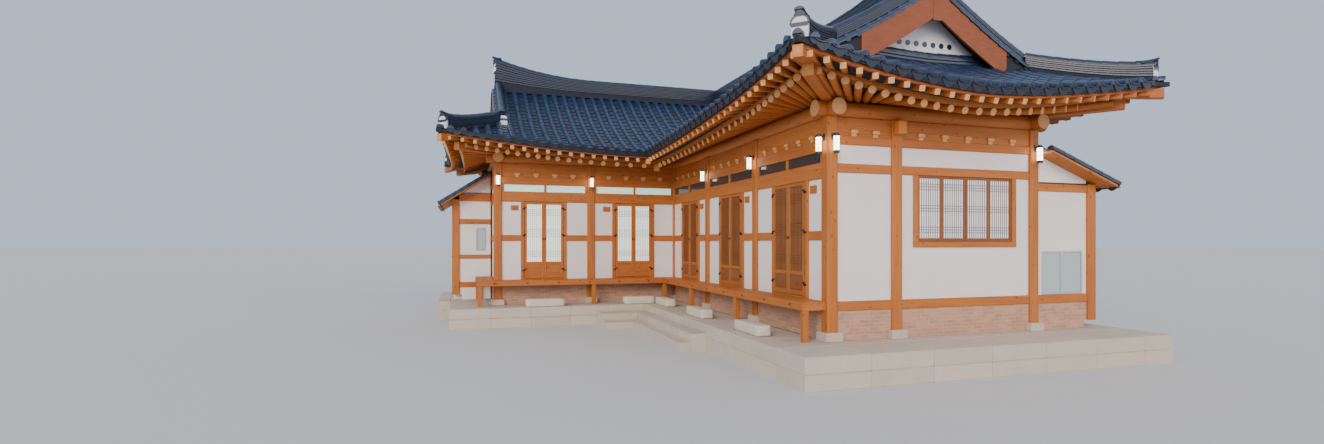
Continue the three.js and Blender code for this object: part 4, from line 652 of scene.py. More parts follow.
def slope_places(side, step=0.6):
    """Places along the eave where the slope's outline turns, with even steps between them."""
    last = side.length + (CORNER_REACH if side.ends[1] == "hip" else HALF_SPAN - 0.1)
    turns = [-CORNER_REACH + 0.03, 0.0, OVERHANG - 0.001, OVERHANG, side.length - HALF_SPAN, side.length]
    if side.under_gable():
        foot = OVERHANG + GABLE_FOOT
        turns = [-CORNER_REACH + 0.03, 0.0, foot, side.length - foot, side.length]
    turns = [turn for turn in turns if turn < last] + [last - 0.03]
    result = [turns[0]]
    for a, b in zip(turns, turns[1:]):
        result += spread(a, b, max(1, round((b - a) / step)))[1:]
    return result


def rafter_reach(side):
    """Places of the first and last rafter, a little past an outer corner or into the valley."""
    first = -HIP_PAST if side.ends[0] == "hip" else 0.0
    return first, side.length + (HIP_PAST if side.ends[1] == "hip" else VALLEY_PAST)


def rafter_line(side, s):
    """Plan points of a rafter at s, and the heights of both tiers at its outer and inner end."""
    hip_end = side.ends[1] == "hip"
    first, last = rafter_reach(side)
    out, fan = OVERHANG + 0.25, 2.9
    if side.ends[0] == "hip" and s < fan:
        inset = mix(out, fan, (s - first) / (fan - first))
    elif hip_end and s > side.length - fan:
        inset = side.length - mix(out, fan, (last - s) / (last - side.length + fan))
    elif not hip_end and s > side.length - VALLEY_FAN:
        t = (s - side.length + VALLEY_FAN) / (last - side.length + VALLEY_FAN)
        inset = mix(side.length - VALLEY_FAN, side.length + out, t)
    else:
        inset = s
    edge = side.eave(s)
    low_end = edge - LOG_DROP
    seat = PURLIN_AXIS + 0.1355
    before, past = (0.812, 0.308) if low_end < seat else (0.93, 0.19)
    rise = (seat - low_end) / before
    inner = seat + past * rise
    fly_end = edge - FLY_DROP
    share = LOWER_AT / TAIL_AT
    back = (TAIL_AT - LOWER_AT) / (1 - LOWER_AT)
    boards = inner + LOG_DEPTH
    over = share * (back * boards + TAIL_LIFT) + (1 - share) * fly_end
    end_top = over / (1 - share * (1 - back))
    tail = mix(end_top, boards, back) + TAIL_LIFT
    return {
        "outer": side.plan(s, 0.12 - side.corner(s)),
        "inner": side.plan(inset, out),
        "log": (low_end, inner),
        "fly": (fly_end, tail),
    }


def line_point(line, share, height):
    spot = line["outer"].lerp(line["inner"], share)
    return Vector((spot.x, spot.y, height + FOOT))


def tier_height(line, tier, share):
    """Underside of a tier's rafter at a share of the way in."""
    low, high = line[tier]
    start, end = (LOWER_AT, 1.0) if tier == "log" else (0.0, TAIL_AT)
    return mix(low, high, (share - start) / (end - start))


def rafter_stations(side, spacing):
    first = 0.12 if side.ends[0] == "hip" else 0.1
    last = side.length - 0.12 if side.ends[1] == "hip" else side.length - 0.16
    return spread(first, last, round((last - first) / spacing))


# Geometry Nodes: a tile laid again and again along its rows


def rows_tree():
    """Each path of the mesh is a row, from the eave upwards. A copy of the tile lies at every
    spacing along it, or only at its start."""
    tree = bpy.data.node_groups.new("Tiles along rows", "GeometryNodeTree")
    sockets = {"Rows": "Geometry", "Tile": "Object", "Spacing": "Float", "Only at the start": "Bool"}
    sockets |= {"Seed": "Int", "Material": "Material"}
    for name, kind in sockets.items():
        tree.interface.new_socket(name, in_out="INPUT", socket_type="NodeSocket" + kind)
    tree.interface.new_socket("Tiles", in_out="OUTPUT", socket_type="NodeSocketGeometry")

    def node(kind, settings=None, values=None):
        return add_node(tree, kind, settings, values).outputs

    given = node("NodeGroupInput")
    curve = node("GeometryNodeMeshToCurve", None, {"Mesh": given["Rows"]})[0]
    length = node("GeometryNodeSplineLength")["Length"]
    steps = node("ShaderNodeMath", {"operation": "DIVIDE"}, {0: length, 1: given["Spacing"]})[0]
    whole = node("ShaderNodeMath", {"operation": "CEIL"}, {0: steps})[0]
    count = node("ShaderNodeMath", {"operation": "ADD"}, {0: whole, 1: 1})[0]
    even = node("GeometryNodeResampleCurve", {"mode": "COUNT"}, {"Curve": curve, "Count": count})[0]
    first = node("GeometryNodeCurveEndpointSelection", None, {"Start Size": 1, "End Size": 0})[0]
    last = node("GeometryNodeCurveEndpointSelection", None, {"Start Size": 0, "End Size": 1})[0]
    others = node("FunctionNodeBooleanMath", {"operation": "NOT"}, {"Boolean": last})[0]
    ways = {"Switch": given["Only at the start"], "False": others, "True": first}
    chosen = node("GeometryNodeSwitch", {"input_type": "BOOLEAN"}, ways)[0]
    tangent = node("GeometryNodeInputTangent")[0]
    across = node("ShaderNodeVectorMath", {"operation": "CROSS_PRODUCT"}, {0: (0, 0, 1), 1: tangent})[0]
    axes = {"primary_axis": "X", "secondary_axis": "Y"}
    turn = node("FunctionNodeAxesToRotation", axes, {0: tangent, 1: across})[0]
    tile = node("GeometryNodeObjectInfo", None, {"Object": given["Tile"]})["Geometry"]
    copies = {"Points": even, "Selection": chosen, "Instance": tile, "Rotation": turn}
    laid = node("GeometryNodeInstanceOnPoints", None, copies)[0]
    chances = node("FunctionNodeRandomValue", {"data_type": "FLOAT"}, {"Seed": given["Seed"]})
    chance = next(o for o in chances if o.enabled and o.type == "VALUE")
    kinds = {"data_type": "FLOAT", "domain": "INSTANCE"}
    tone = {"Geometry": laid, "Name": "tone", "Value": chance}
    toned_tiles = node("GeometryNodeStoreNamedAttribute", kinds, tone)[0]
    real = node("GeometryNodeRealizeInstances", None, {"Geometry": toned_tiles})[0]
    painted = node("GeometryNodeSetMaterial", None, {"Geometry": real, "Material": given["Material"]})[0]
    node("NodeGroupOutput", None, {"Tiles": painted})
    return tree


def lay(name, paths, tile, spacing, clay, only_first, seed, slot):
    """Lays the tile along the paths, and places the tiles as one plain mesh."""
    tree = bpy.data.node_groups.get("Tiles along rows") or rows_tree()
    points, edges = [], []
    for path in paths:
        edges += [(len(points) + k, len(points) + k + 1) for k in range(len(path) - 1)]
        points += path
    mesh = bpy.data.meshes.new(name + " rows")
    mesh.from_pydata(points, edges, [])
    piece = show(name, mesh)
    rows = piece.modifiers.new("Rows", "NODES")
    rows.node_group = tree
    values = {"Tile": tile, "Spacing": spacing, "Only at the start": only_first, "Seed": seed}
    values["Material"] = finish(clay)
    for item in tree.interface.items_tree:
        if item.in_out == "INPUT" and item.name in values:
            rows[item.identifier] = values[item.name]
    depsgraph = bpy.context.evaluated_depsgraph_get()
    result = bpy.data.meshes.new_from_object(piece.evaluated_get(depsgraph))
    piece.modifiers.remove(rows)
    piece.data = result
    result.name = name
    bpy.data.meshes.remove(mesh)
    bpy.data.objects.remove(tile)
    place(piece, slot)


def template(name, points, faces, smooth_under=40):
    """A tile to lay, with X up the roof, Y across it and Z out of it."""
    mesh = bpy.data.meshes.new(name)
    mesh.from_pydata(points, [], faces)
    close(mesh, smooth_under)
    return show(name, mesh)


def prism(outline, x0, x1, tilt=0.0):
    """Points and faces of a closed outline of (y, z) along X, its first end raised by the tilt."""
    count = len(outline)
    points = [(x0, y, z + tilt) for y, z in outline] + [(x1, y, z) for y, z in outline]
    faces = [tuple(range(count)), tuple(range(count, 2 * count))]
    for j in range(count):
        n = (j + 1) % count
        faces.append((j, n, n + count, j + count))
    return points, faces


def cover_tile(radius=0.078, length=0.30, tilt=0.009):
    arch = arc(radius, spread(0, math.pi, 7))
    inner = [(radius * 0.8, 0.0), (-radius * 0.8, 0.0)]
    outline = arch + [(-radius, -0.02), inner[1], inner[0], (radius, -0.02)]
    return template("cover tile", *prism(outline, -0.02, length, tilt))


def pan_tile(width=0.29, length=0.34, tilt=0.02, sag=0.045, thick=0.018):
    ys = spread(-width / 2, width / 2, 6)
    bowl = [(y, sag * (2 * y / width) ** 2) for y in ys]
    outline = bowl + [(y, z - thick) for y, z in reversed(bowl)]
    return template("pan tile", *prism(outline, -0.02, length, tilt))


def end_disc(radius=0.084, thick=0.022):
    """The round end of a row of cover tiles: a rim round a sunken face."""
    rim = arc(radius, spread(0, math.tau, 14)[:-1])
    face = [(y * 0.78, z * 0.78) for y, z in rim]
    count = len(rim)
    points = [(thick, y, z) for y, z in rim] + [(0, y, z) for y, z in rim]
    points += [(0, y, z) for y, z in face] + [(0.008, y, z) for y, z in face]
    faces = [tuple(range(count)), tuple(range(3 * count, 4 * count))]
    for ring_start in (0, count, 2 * count):
        for j in range(count):
            n = (j + 1) % count
            a, b = ring_start, ring_start + count
            faces.append((a + j, a + n, b + n, b + j))
    return template("end disc", points, faces, 30)


def drip_tile(width=0.285, drop=0.115, sag=0.045, thick=0.018):
    """The pointed apron of a pan tile at the eave."""
    ys = spread(-width / 2, width / 2, 8)
    top = [(y, sag * (2 * y / width) ** 2) for y in ys]
    low = [(y, z - drop * (0.35 + 0.65 * math.cos(math.pi * y / width))) for y, z in top]
    return template("drip tile", *prism(top + list(reversed(low)), 0, thick))


# Settings that a user would change


def metres(name, description, default, low, high):
    return bpy.props.FloatProperty(
        name=name, description=description, default=default, min=low, max=high, unit="LENGTH"
    )


def swatch(name, description, default):
    return bpy.props.FloatVectorProperty(
        name=name, description=description, default=default, subtype="COLOR", size=3, min=0, max=1
    )


class HANOK_PG_sizes(bpy.types.PropertyGroup):
    row_spacing: metres("Tile rows", "From one row of cover tiles to the next", 0.30, 0.2, 0.5)
    tile_step: metres("Tile step", "Visible length of each cover tile", 0.27, 0.15, 0.5)
    rafter_spacing: metres("Rafters", "From one rafter to the next", 0.30, 0.2, 0.6)
    log_radius: metres("Log radius", "Radius of the round rafters", 0.07, 0.04, 0.09)
    bar_spacing: metres("Lattice bars", "From one upright lattice bar to the next", 0.052, 0.03, 0.1)
    board_width: metres("Deck boards", "Width of one board of the porch deck", 0.128, 0.08, 0.2)


class HANOK_PG_colours(bpy.types.PropertyGroup):
    timber: swatch("Timber", "Posts, beams and rafters", (0.62, 0.205, 0.026))
    timber_grain: swatch("Timber grain", "Dark lines in the timber", (0.34, 0.085, 0.010))
    door: swatch("Doors", "Door leaves and window sashes", (0.34, 0.105, 0.022))
    plaster: swatch("Plaster", "Walls between the timbers", (0.86, 0.785, 0.76))
    tile: swatch("Tiles", "Roof tiles", (0.0075, 0.0175, 0.045))
    brick: swatch("Bricks", "Brickwork under the sills", (0.64, 0.335, 0.21))
    granite: swatch("Granite", "Platform and step stones", (0.66, 0.565, 0.46))
    bargeboard: swatch("Bargeboards", "Boards along the gables' edges", (0.27, 0.060, 0.014))


def sizes():
    return bpy.context.scene.hanok_sizes


def tint(name, factor=1.0):
    return toned(getattr(bpy.context.scene.hanok_colours, name), factor)


def finish(name):
    """The material of this name, made the first time that it is asked for."""
    recipes = {
        "pine": (wood, tint("timber"), tint("timber_grain")),
        "pine end": (end_grain, rgb(0.72, 0.43, 0.20), tint("timber")),
        "tenon end": (wood, tint("timber", 0.3), tint("timber", 0.12)),
        "red pine": (wood, tint("timber", 0.8), tint("timber", 0.45), 0.4),
        "rafter boards": (wood, tint("timber", 0.95), tint("timber", 0.6), 0.4),
        "eave strip": (wood, rgb(0.58, 0.135, 0.016), rgb(0.36, 0.075, 0.010), 0.3),
        "door pine": (wood, tint("door"), tint("door", 0.45), 0.4, 0.45),
        "pale bars": (wood, rgb(0.50, 0.52, 0.47), rgb(0.42, 0.42, 0.36), 0.3),
        "grey bars": (wood, rgb(0.30, 0.25, 0.26), rgb(0.22, 0.18, 0.19), 0.3),
        "floor boards": (floor_boards, rgb(0.36, 0.2, 0.09), rgb(0.2, 0.1, 0.04)),
        "bargeboard paint": (painted_board, tint("bargeboard")),
        "wall plaster": (plaster, tint("plaster")),
        "gable lime": (plaster, rgb(0.80, 0.78, 0.82)),
        "lime": (plaster, rgb(0.82, 0.82, 0.80)),
        "joint sand": (plaster, rgb(0.36, 0.33, 0.29)),
        # The roof bed is near black: painted shade where it shows between the tiles.
        "roof bed": (plaster, rgb(0.022, 0.024, 0.030)),
        "ridge mortar": (plaster, rgb(0.018, 0.022, 0.034)),
        "split granite": (stone, tint("granite", 1.25), tint("granite", 0.62)),
        "step stone": (stone, tint("granite", 1.2), tint("granite", 0.85)),
        "brickwork": (brickwork, tint("brick"), tint("brick", 0.72), rgb(0.5, 0.46, 0.40)),
        "smoked clay": (fired_clay, tint("tile", 1.9), tint("tile", 0.5), 0.30),
        # Cover tiles: a lighter copy of the pan tiles' clay, a painted sheen along the ribs.
        "sky-lit clay": (fired_clay, tint("tile", 2.6), tint("tile", 1.0), 0.28),
        # Eave discs and drip tiles: a darker copy of the tile clay, painted shade on the eave's end
        # tiles.
        "sooty clay": (fired_clay, tint("tile", 1.3), rgb(0.012, 0.013, 0.016), 0.5),
        # Lit paper, window paper, pane glass and lit pane glow with painted light, though none is a lamp;
        # dim paper is a darker copy of lit paper, painted shade of the unlit room behind it.
        "lit paper": (paper, rgb(0.86, 0.86, 0.80), rgb(0.86, 0.93, 0.86), 0.9),
        "dim paper": (paper, rgb(0.30, 0.15, 0.07), rgb(0.5, 0.3, 0.15), 0.03),
        "window paper": (paper, rgb(0.84, 0.82, 0.80), rgb(0.86, 0.86, 0.92), 0.42),
        "pane glass": (paper, rgb(0.34, 0.40, 0.42), rgb(0.50, 0.62, 0.62), 0.22),
        "lit pane": (paper, rgb(0.55, 0.72, 0.64), rgb(0.62, 0.9, 0.76), 0.75),
        "lamp glass": (paper, rgb(0.9, 0.9, 0.86), rgb(1.0, 0.95, 0.82), 7.0),
        # Dark pane: glass painted near black, painted shade of the unlit room behind it.
        "dark pane": (plain, rgb(0.05, 0.045, 0.045), 0.12),
        "black iron": (plain, rgb(0.02, 0.02, 0.022), 0.45, 0.8),
        "lamp cap": (plain, rgb(0.05, 0.045, 0.04), 0.4, 0.6),
        "aluminium": (plain, rgb(0.55, 0.56, 0.57), 0.35, 0.9),
        "pale ground": (plain, rgb(0.62, 0.61, 0.60), 0.8),
    }
    make, *given = recipes[name]
    return bpy.data.materials.get(name) or make(name, *given)


TIMBER = ["pine", "pine end"]  # long faces and cut ends


# Stonework


def dressed_blocks(shape, x0, x1, y0, y1, low, top, length_x, length_y):
    """A course of stones with chamfered edges that fills a rectangle."""
    xs = spread(x0, x1, max(1, round((x1 - x0) / length_x)))
    ys = spread(y0, y1, max(1, round((y1 - y0) / length_y)))
    joint = 0.003
    for xa, xb in zip(xs, xs[1:]):
        for ya, yb in zip(ys, ys[1:]):
            inside = x0 + 1 < xa and xb < x1 - 1 and y0 + 1 < ya and yb < y1 - 1
            if not inside:
                a = Vector((xa + joint, ya + joint, low))
                stone_block(shape, a, Vector((xb - joint, yb - joint, top)))


def stone_block(shape, a, b, bevel=0.012):
    """A box whose upper edges are bevelled."""
    shape.block(a, (b.x, b.y, b.z - bevel), 0.006)
    centre = (a + b) / 2
    half_x, half_y = (b.x - a.x) / 2, (b.y - a.y) / 2
    low = Vector((centre.x, centre.y, b.z - bevel))
    high = Vector((centre.x, centre.y, b.z))
    across, along = Vector((1, 0, 0)), Vector((0, 1, 0))
    section = [(half_x, -half_y), (half_x, half_y), (-half_x, half_y), (-half_x, -half_y)]
    scale_x, scale_y = 1 - bevel / half_x, 1 - bevel / half_y
    shape.sweep([(low, across, along), (high, across * scale_x, along * scale_y)], section)


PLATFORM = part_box("brick_base")[0].z
STEP_TOPS = (PLATFORM - 0.1733, PLATFORM - 0.3467)


def make_platform():
    shape = Shape(3)
    blocks = [
        (-1.25, 5.75, -1.30, 14.0, PLATFORM),
        (-6.40, -1.25, 7.30, 14.0, PLATFORM),
        (5.75, 6.50, -1.30, 6.0, PLATFORM),
        (-6.76, -6.40, 9.80, 13.25, PLATFORM),
    ]
    for x0, x1, y0, y1, top in blocks:
        course = top / 2
        for base in (0.0, course):
            dressed_blocks(shape, x0, x1, y0, y1, base, base + course - 0.003, 1.1, 0.9)
        shape.block((x0 + 0.05, y0 + 0.05, 0.01), (x1 - 0.05, y1 - 0.05, top - 0.012), paint=1)
    steps = [
        (-1.60, -1.25, 2.60, 7.30, STEP_TOPS[0]),
        (-1.85, -1.60, 2.60, 6.70, STEP_TOPS[1]),
        (-2.57, -1.60, 6.70, 7.30, STEP_TOPS[0]),
        (-2.57, -1.85, 6.20, 6.70, STEP_TOPS[1]),
    ]
    for x0, x1, y0, y1, top in steps:
        dressed_blocks(shape, x0, x1, y0, y1, 0.0, top, 1.2, 0.8)
    spots = {tuple(WALLS[wall].point(u, HALF, 0)) for wall, places in POSTS.items() for u in places}
    for spot in sorted(spots):
        reach = Vector((0.165, 0.165, 0))
        stone_block(shape, Vector(spot) - reach - UP * 0.15, Vector(spot) + reach, 0.02)
    shape.build("platform stones", ["split granite", "joint sand"], "granite", "stylobate")


def make_step_stones():
    """Rough stones: each a box that swells and wavers a little inside its own node's box."""
    draw = random.Random(11)
    for number in range(1, 6):
        name = f"step_stone_{number}"
        low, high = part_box(name)
        work = bmesh.new()
        bmesh.ops.create_cube(work, size=2.0)
        bmesh.ops.subdivide_edges(work, edges=work.edges[:], cuts=7, use_grid_fill=True)
        centre, half = (low + high) / 2, (high - low) / 2
        waves = [draw.uniform(0, math.tau) for _ in range(4)]
        for vert in work.verts:
            p = vert.co
            corner = max(0.0, sum(sorted((abs(p.x), abs(p.y), abs(p.z)))[1:]) - 1.70)
            dent = 1 - 0.14 * corner
            dent -= 0.006 * (1 + math.sin(3.1 * p.x + waves[0]) * math.sin(4.3 * p.y + waves[1]))
            edge = 1 - 0.007 * (1 + math.sin(1.7 * p.z + 2.7 * (p.x + p.y) + waves[2]))
            side = dent * edge
            vert.co = centre + Vector((p.x * half.x * side, p.y * half.y * side, p.z * half.z * dent))
        bottom = min(vert.co.z for vert in work.verts)
        for vert in work.verts:
            drop = (bottom - low.z) * (high.z - vert.co.z) / (high.z - low.z)
            vert.co.z = max(low.z, vert.co.z - drop)
        mesh = bpy.data.meshes.new(name + "_rough")
        work.to_mesh(mesh)
        work.free()
        mesh.polygons.foreach_set("use_smooth", [True] * len(mesh.polygons))
        mesh.materials.append(finish("step stone"))
        place(show(name + "_rough", mesh), "granite", name)


# Porch deck

DECK_X, DECK_Y = -0.555, INNER_Y - 0.555
DECK_END_X, DECK_END_Y = -5.7, 10.1947
DECK_START_Y = -0.05
DECK_LOW, DECK_BOARD, DECK_EDGE = 0.388, 0.035, 0.055
WALL_X, WALL_Y, END_WALL_X = -0.1053, 8.1447, -5.2553


def deck_boards(shape, x0, x1, y0, y1, along_y):
    """Boards side by side over a rectangle, with a narrow gap between them."""
    width = (x1 - x0) if along_y else (y1 - y0)
    count = round(width / sizes().board_width)
    step = width / count
    for k in range(count):
        a, b = k * step + 0.0015, (k + 1) * step - 0.0015
        low = (x0 + a, y0) if along_y else (x0, y0 + a)
        high = (x0 + b, y1) if along_y else (x1, y0 + b)
        shape.block((*low, SILL_TOP - DECK_BOARD + FOOT), (*high, SILL_TOP + FOOT), 0.004)


def deck_edge(shape, a, b, outward):
    """The deck's front beam with the ends of its tenons, dark against it."""
    low = Vector(map(min, a, b))
    high = Vector(map(max, a, b))
    back = outward * -DECK_EDGE
    p = min(low.x, low.x + back.x), min(low.y, low.y + back.y), DECK_LOW + FOOT
    q = max(high.x, high.x + back.x), max(high.y, high.y + back.y), SILL_TOP + FOOT
    shape.block(p, q, 0.008)
    along = (b - a).normalized()
    run = (b - a).length
    for s in spread(0.45, run - 0.45, max(1, round(run / 1.1))):
        spot = a + along * s + outward * 0.001 + UP * (0.463 + FOOT)
        half = along * 0.028 + UP * 0.022
        shape.block(spot - half - outward * 0.012, spot + half + outward * 0.002, 0.002, paint=2)


def make_deck():
    shape = Shape(5)
    edge = DECK_EDGE
    deck_boards(shape, DECK_X + edge, WALL_X, DECK_START_Y, WALL_Y, True)
    deck_boards(shape, DECK_END_X + edge, DECK_X + edge, DECK_Y + edge, WALL_Y, False)
    deck_boards(shape, DECK_END_X + edge, END_WALL_X, WALL_Y, DECK_END_Y, True)
    corner = Vector((DECK_X, DECK_Y, 0))
    deck_edge(shape, Vector((DECK_X, DECK_START_Y, 0)), corner + Vector((0, edge, 0)), Vector((-1, 0, 0)))
    deck_edge(shape, Vector((DECK_END_X, DECK_Y, 0)), corner, Vector((0, -1, 0)))
    end = Vector((DECK_END_X, DECK_Y + edge, 0))
    deck_edge(shape, end, Vector((DECK_END_X, DECK_END_Y, 0)), Vector((-1, 0, 0)))
    beam = 0.07
    low, high = DECK_LOW + FOOT, SILL_TOP - DECK_BOARD + FOOT
    for y in (DECK_START_Y + 0.004, BAY, 2 * BAY):
        shape.block((DECK_X + edge, y, low), (WALL_X - beam, y + beam, high))
    for x in (-LEFT_BAY, -0.5, -4.4, -1.5):
        shape.block((x, DECK_Y + edge, low), (x + beam, WALL_Y, high))
    for y in (8.6, 9.4, DECK_END_Y - beam):
        shape.block((DECK_END_X + edge, y, low), (END_WALL_X, y + beam, high))
    shape.block((WALL_X - beam, DECK_START_Y, low), (WALL_X, WALL_Y, high))
    shape.block((DECK_END_X + 0.02, WALL_Y - beam, low), (WALL_X, WALL_Y, high))
    leg = 0.055
    spots = [(-0.484, y) for y in (0.009, 2.809, 5.559)]
    spots += [(x, 7.766) for x in (-LEFT_BAY, -0.5, -5.629)] + [(-5.629, 10.136)]
    for x, y in spots:
        shape.block((x - leg, y - leg, PLATFORM), (x + leg, y + leg, low), 0.01, end=1)
    shape.build("porch deck", [*TIMBER, "tenon end"], "timber", "porch_deck", "porch_frame")


# Timber frames


def post(shape, wall, u, top=PLATE_TOP):
    WALLS[wall].bar(shape, u - HALF, u + HALF, 0, POST, 0, top, chamfer=0.014, end=1)


def bearing_blocks(shape, wall, start, end, low, high):
    """Small bearing blocks between the tie beam and the plate, narrower at their foot."""
    count = round((end - start) / 0.5) - 1
    wall.bar(shape, start + HALF, end - HALF, 0.044, 0.0545, low - 0.003, high, chamfer=0.001)
    for i in range(1, count + 1):
        u = start + (end - start) * i / (count + 1)
        middle = low + (high - low) * 0.45
        foot, head = BEAM_FACE + 0.004, BEAM_FACE - 0.016
        wall.bar(shape, u - 0.05, u + 0.05, foot, TIE_BACK, low, middle, chamfer=0.004, paint=1)
        wall.bar(shape, u - 0.075, u + 0.075, head, TIE_BACK, middle, high, chamfer=0.02, paint=1)


def door_bay(shape, wall, start, end, door, pair):
    a, b = start + HALF - 0.005, end - HALF + 0.005
    left, right = door - pair / 2, door + pair / 2
    middle = (start + end) / 2
    bar = partial(wall.bar, shape)
    bar(a, b, BEAM_FACE, BEAM_BACK, HEAD_LOW, HEAD_TOP, chamfer=0.008)
    bar(a, b, BEAM_FACE, TIE_BACK, TIE_LOW, TIE_TOP, chamfer=0.008)
    for u0, u1 in ((a, a + 0.065), (b - 0.065, b), (middle - 0.03, middle + 0.03)):
        bar(u0, u1, BEAM_FACE, BEAM_BACK, HEAD_TOP - 0.003, TIE_LOW + 0.003)
    for u0, u1 in ((left - JAMB, left), (right, right + JAMB)):
        bar(u0, u1, BEAM_FACE, BEAM_BACK, SILL_TOP - 0.003, HEAD_LOW + 0.003, chamfer=0.007)
    bar(left - 0.003, right + 0.003, BEAM_FACE, BEAM_BACK, SILL_TOP - 0.003, 0.563)
    bar(a, left - JAMB + 0.003, BEAM_FACE, BEAM_BACK, RAIL_LOW, RAIL_TOP)
    bar(right + JAMB - 0.003, b, BEAM_FACE, BEAM_BACK, RAIL_LOW, RAIL_TOP)
    bearing_blocks(shape, wall, start, end, TIE_TOP, 3.465)


def plate(shape, wall, u0, u1, low=3.46):
    WALLS[wall].bar(shape, u0, u1, 0.035, 0.175, low, PLATE_TOP, chamfer=0.01)


def make_courtyard_frames():
    wings = (
        (7, "right", HALF, INNER_Y + HALF, INNER_Y + HALF - 0.01, BAY, RIGHT_DOORS, RIGHT_PAIR),
        (8, "left", LEFT_X, -HALF, -HALF, LEFT_BAY, LEFT_DOORS, LEFT_PAIR),
    )
    for seed, wing, start, sill_end, plate_end, bay, doors, pair in wings:
        shape = Shape(seed)
        wall = WALLS[wing]
        wall.bar(shape, start, sill_end, BEAM_FACE, POST, SILL_LOW, SILL_TOP, chamfer=0.008)
        plate(shape, wing, start, plate_end)
        for u in POSTS[wing][1:]:
            post(shape, wing, u)
        first = min(POSTS[wing])
        for k, door in enumerate(doors):
            door_bay(shape, wall, first + k * bay, first + (k + 1) * bay, door, pair)
        shape.build(f"{wing} wing timber frame", TIMBER, "timber", f"courtyard_frame_{wing}")


WINDOW = (1.70, 4.07, 1.47)
WINDOW_BAR = 0.10
GABLE_HEAD = 2.775, 2.93
GABLE_TIE = 3.26, 3.41


def make_gable_frame():
    shape = Shape(9)
    wall = WALLS["gable"]
    bar = partial(wall.bar, shape)
    bar(HALF, DEPTH - HALF, BEAM_FACE, POST, SILL_LOW, SILL_TOP, chamfer=0.008)
    plate(shape, "gable", 0, DEPTH, 3.52)
    for x in POSTS["gable"]:
        post(shape, "gable", x)
    for start, end in zip(POSTS["gable"], POSTS["gable"][1:]):
        a, b = start + HALF - 0.005, end - HALF + 0.005
        bar(a, b, BEAM_FACE, BEAM_BACK, *GABLE_HEAD, chamfer=0.008)
        bar(a, b, BEAM_FACE, TIE_BACK, *GABLE_TIE, chamfer=0.008)
        bearing_blocks(shape, wall, start, end, GABLE_TIE[1], 3.525)
    u0, u1, low = WINDOW
    bar(u0, u1, BEAM_FACE, BEAM_BACK, low, low + WINDOW_BAR)
    for v0, v1 in ((u0, u0 + WINDOW_BAR), (u1 - WINDOW_BAR, u1)):
        bar(v0, v1, BEAM_FACE, BEAM_BACK, low + WINDOW_BAR, GABLE_HEAD[0])
    bar(1.33 - 0.085, 1.33 + 0.085, -0.15, 0.0, 3.49, 3.70, chamfer=0.014, paint=1)
    shape.build("gable timber frame", TIMBER, "timber", "gable_frame")


def make_rear_frame():
    shape = Shape(10)
    for name in ("left_end", "rear", "back"):
        bar = partial(WALLS[name].bar, shape)
        places = sorted(POSTS[name])
        bar(places[0], places[-1], BEAM_FACE, POST, SILL_LOW, SILL_TOP, chamfer=0.008)
        plate(shape, name, places[0], places[-1], 3.355)
        for start, end in zip(places, places[1:]):
            a, b = start + HALF - 0.005, end - HALF + 0.005
            bar(a, b, BEAM_FACE, BEAM_BACK, RAIL_LOW, RAIL_TOP)
            bar(a, b, BEAM_FACE, BEAM_BACK, HEAD_LOW, HEAD_TOP - 0.001)
            bar(a, b, BEAM_FACE, TIE_BACK, TIE_LOW, TIE_TOP)
    for name, places in (("left_end", [10.5]), ("rear", POSTS["rear"]), ("back", POSTS["back"][1:-1])):
        for u in places:
            post(shape, name, u)
    shape.build("rear timber frame", TIMBER, "timber", "rear_frame")


def make_purlins():
    shape = Shape(12)
    runs = [
        ((0, -0.3), (0, 8.31)),
        ((-5.45, 8.25), (0.06, 8.25)),
        ((-5.15, 7.95), (-5.15, 13.05)),
        ((-5.45, 12.75), (4.8, 12.75)),
        ((4.5, -0.3), (4.5, 13.05)),
        ((-0.3, 0), (4.8, 0)),
    ]
    for run in runs:
        p, q = (Vector((x, y, PURLIN_AXIS + FOOT)) for x, y in run)
        shape.rod(p, q, 0.143, 20, end=1)
    shape.build("eave purlins", TIMBER, "timber", "eave_purlins", smooth_under=35)


# Doors


def lattice(shape, wall, u0, u1, z0, z1, front, bands, paint=0):
    """Upright bars with bands of crossing bars; each band is (share of the height, bars)."""
    bar, deep = 0.0045, 0.016
    count = max(3, round((u1 - u0) / sizes().bar_spacing))
    for u in spread(u0, u1, count)[1:-1]:
        wall.bar(shape, u - bar, u + bar, front, front + deep, z0, z1, chamfer=0.001, paint=paint)
    step = (u1 - u0) / count
    for share, bars in bands:
        for k in range(bars):
            z = mix(z0, z1, share) + (k - (bars - 1) / 2) * step
            wall.bar(
                shape, u0, u1, front + 0.001, front + deep - 0.001, z - bar, z + bar,
                chamfer=0.001, paint=paint,
            )


HINGE_HEIGHTS = (0.80, 1.76, 2.50)
LEAF_LOW, LEAF_TOP = 0.570, 2.672
PANEL_LOW, PANEL_TOP = 0.66, 0.95
LATTICE_LOW, LATTICE_TOP = 1.02, 2.61
STILE = 0.062


def pin(shape, wall, u, low, high, side, paint):
    """One half of a hinge: its knuckle on the pin's axis and a strap with two nail heads."""
    centre_low, centre_high = wall.point(u, -0.004, low), wall.point(u, -0.004, high)
    shape.rod(centre_low, centre_high, 0.0068, 10, paint=paint)
    strap = sorted((u + side * 0.001, u + side * 0.058))
    wall.bar(shape, *strap, 0.0, 0.014, low + 0.002, high - 0.002, chamfer=0.001, paint=paint)
    for reach in (0.02, 0.044):
        spot = wall.point(u + side * reach, -0.0015, (low + high) / 2)
        shape.rod(spot, spot - wall.out() * 0.004, 0.005, 8, paint=paint)


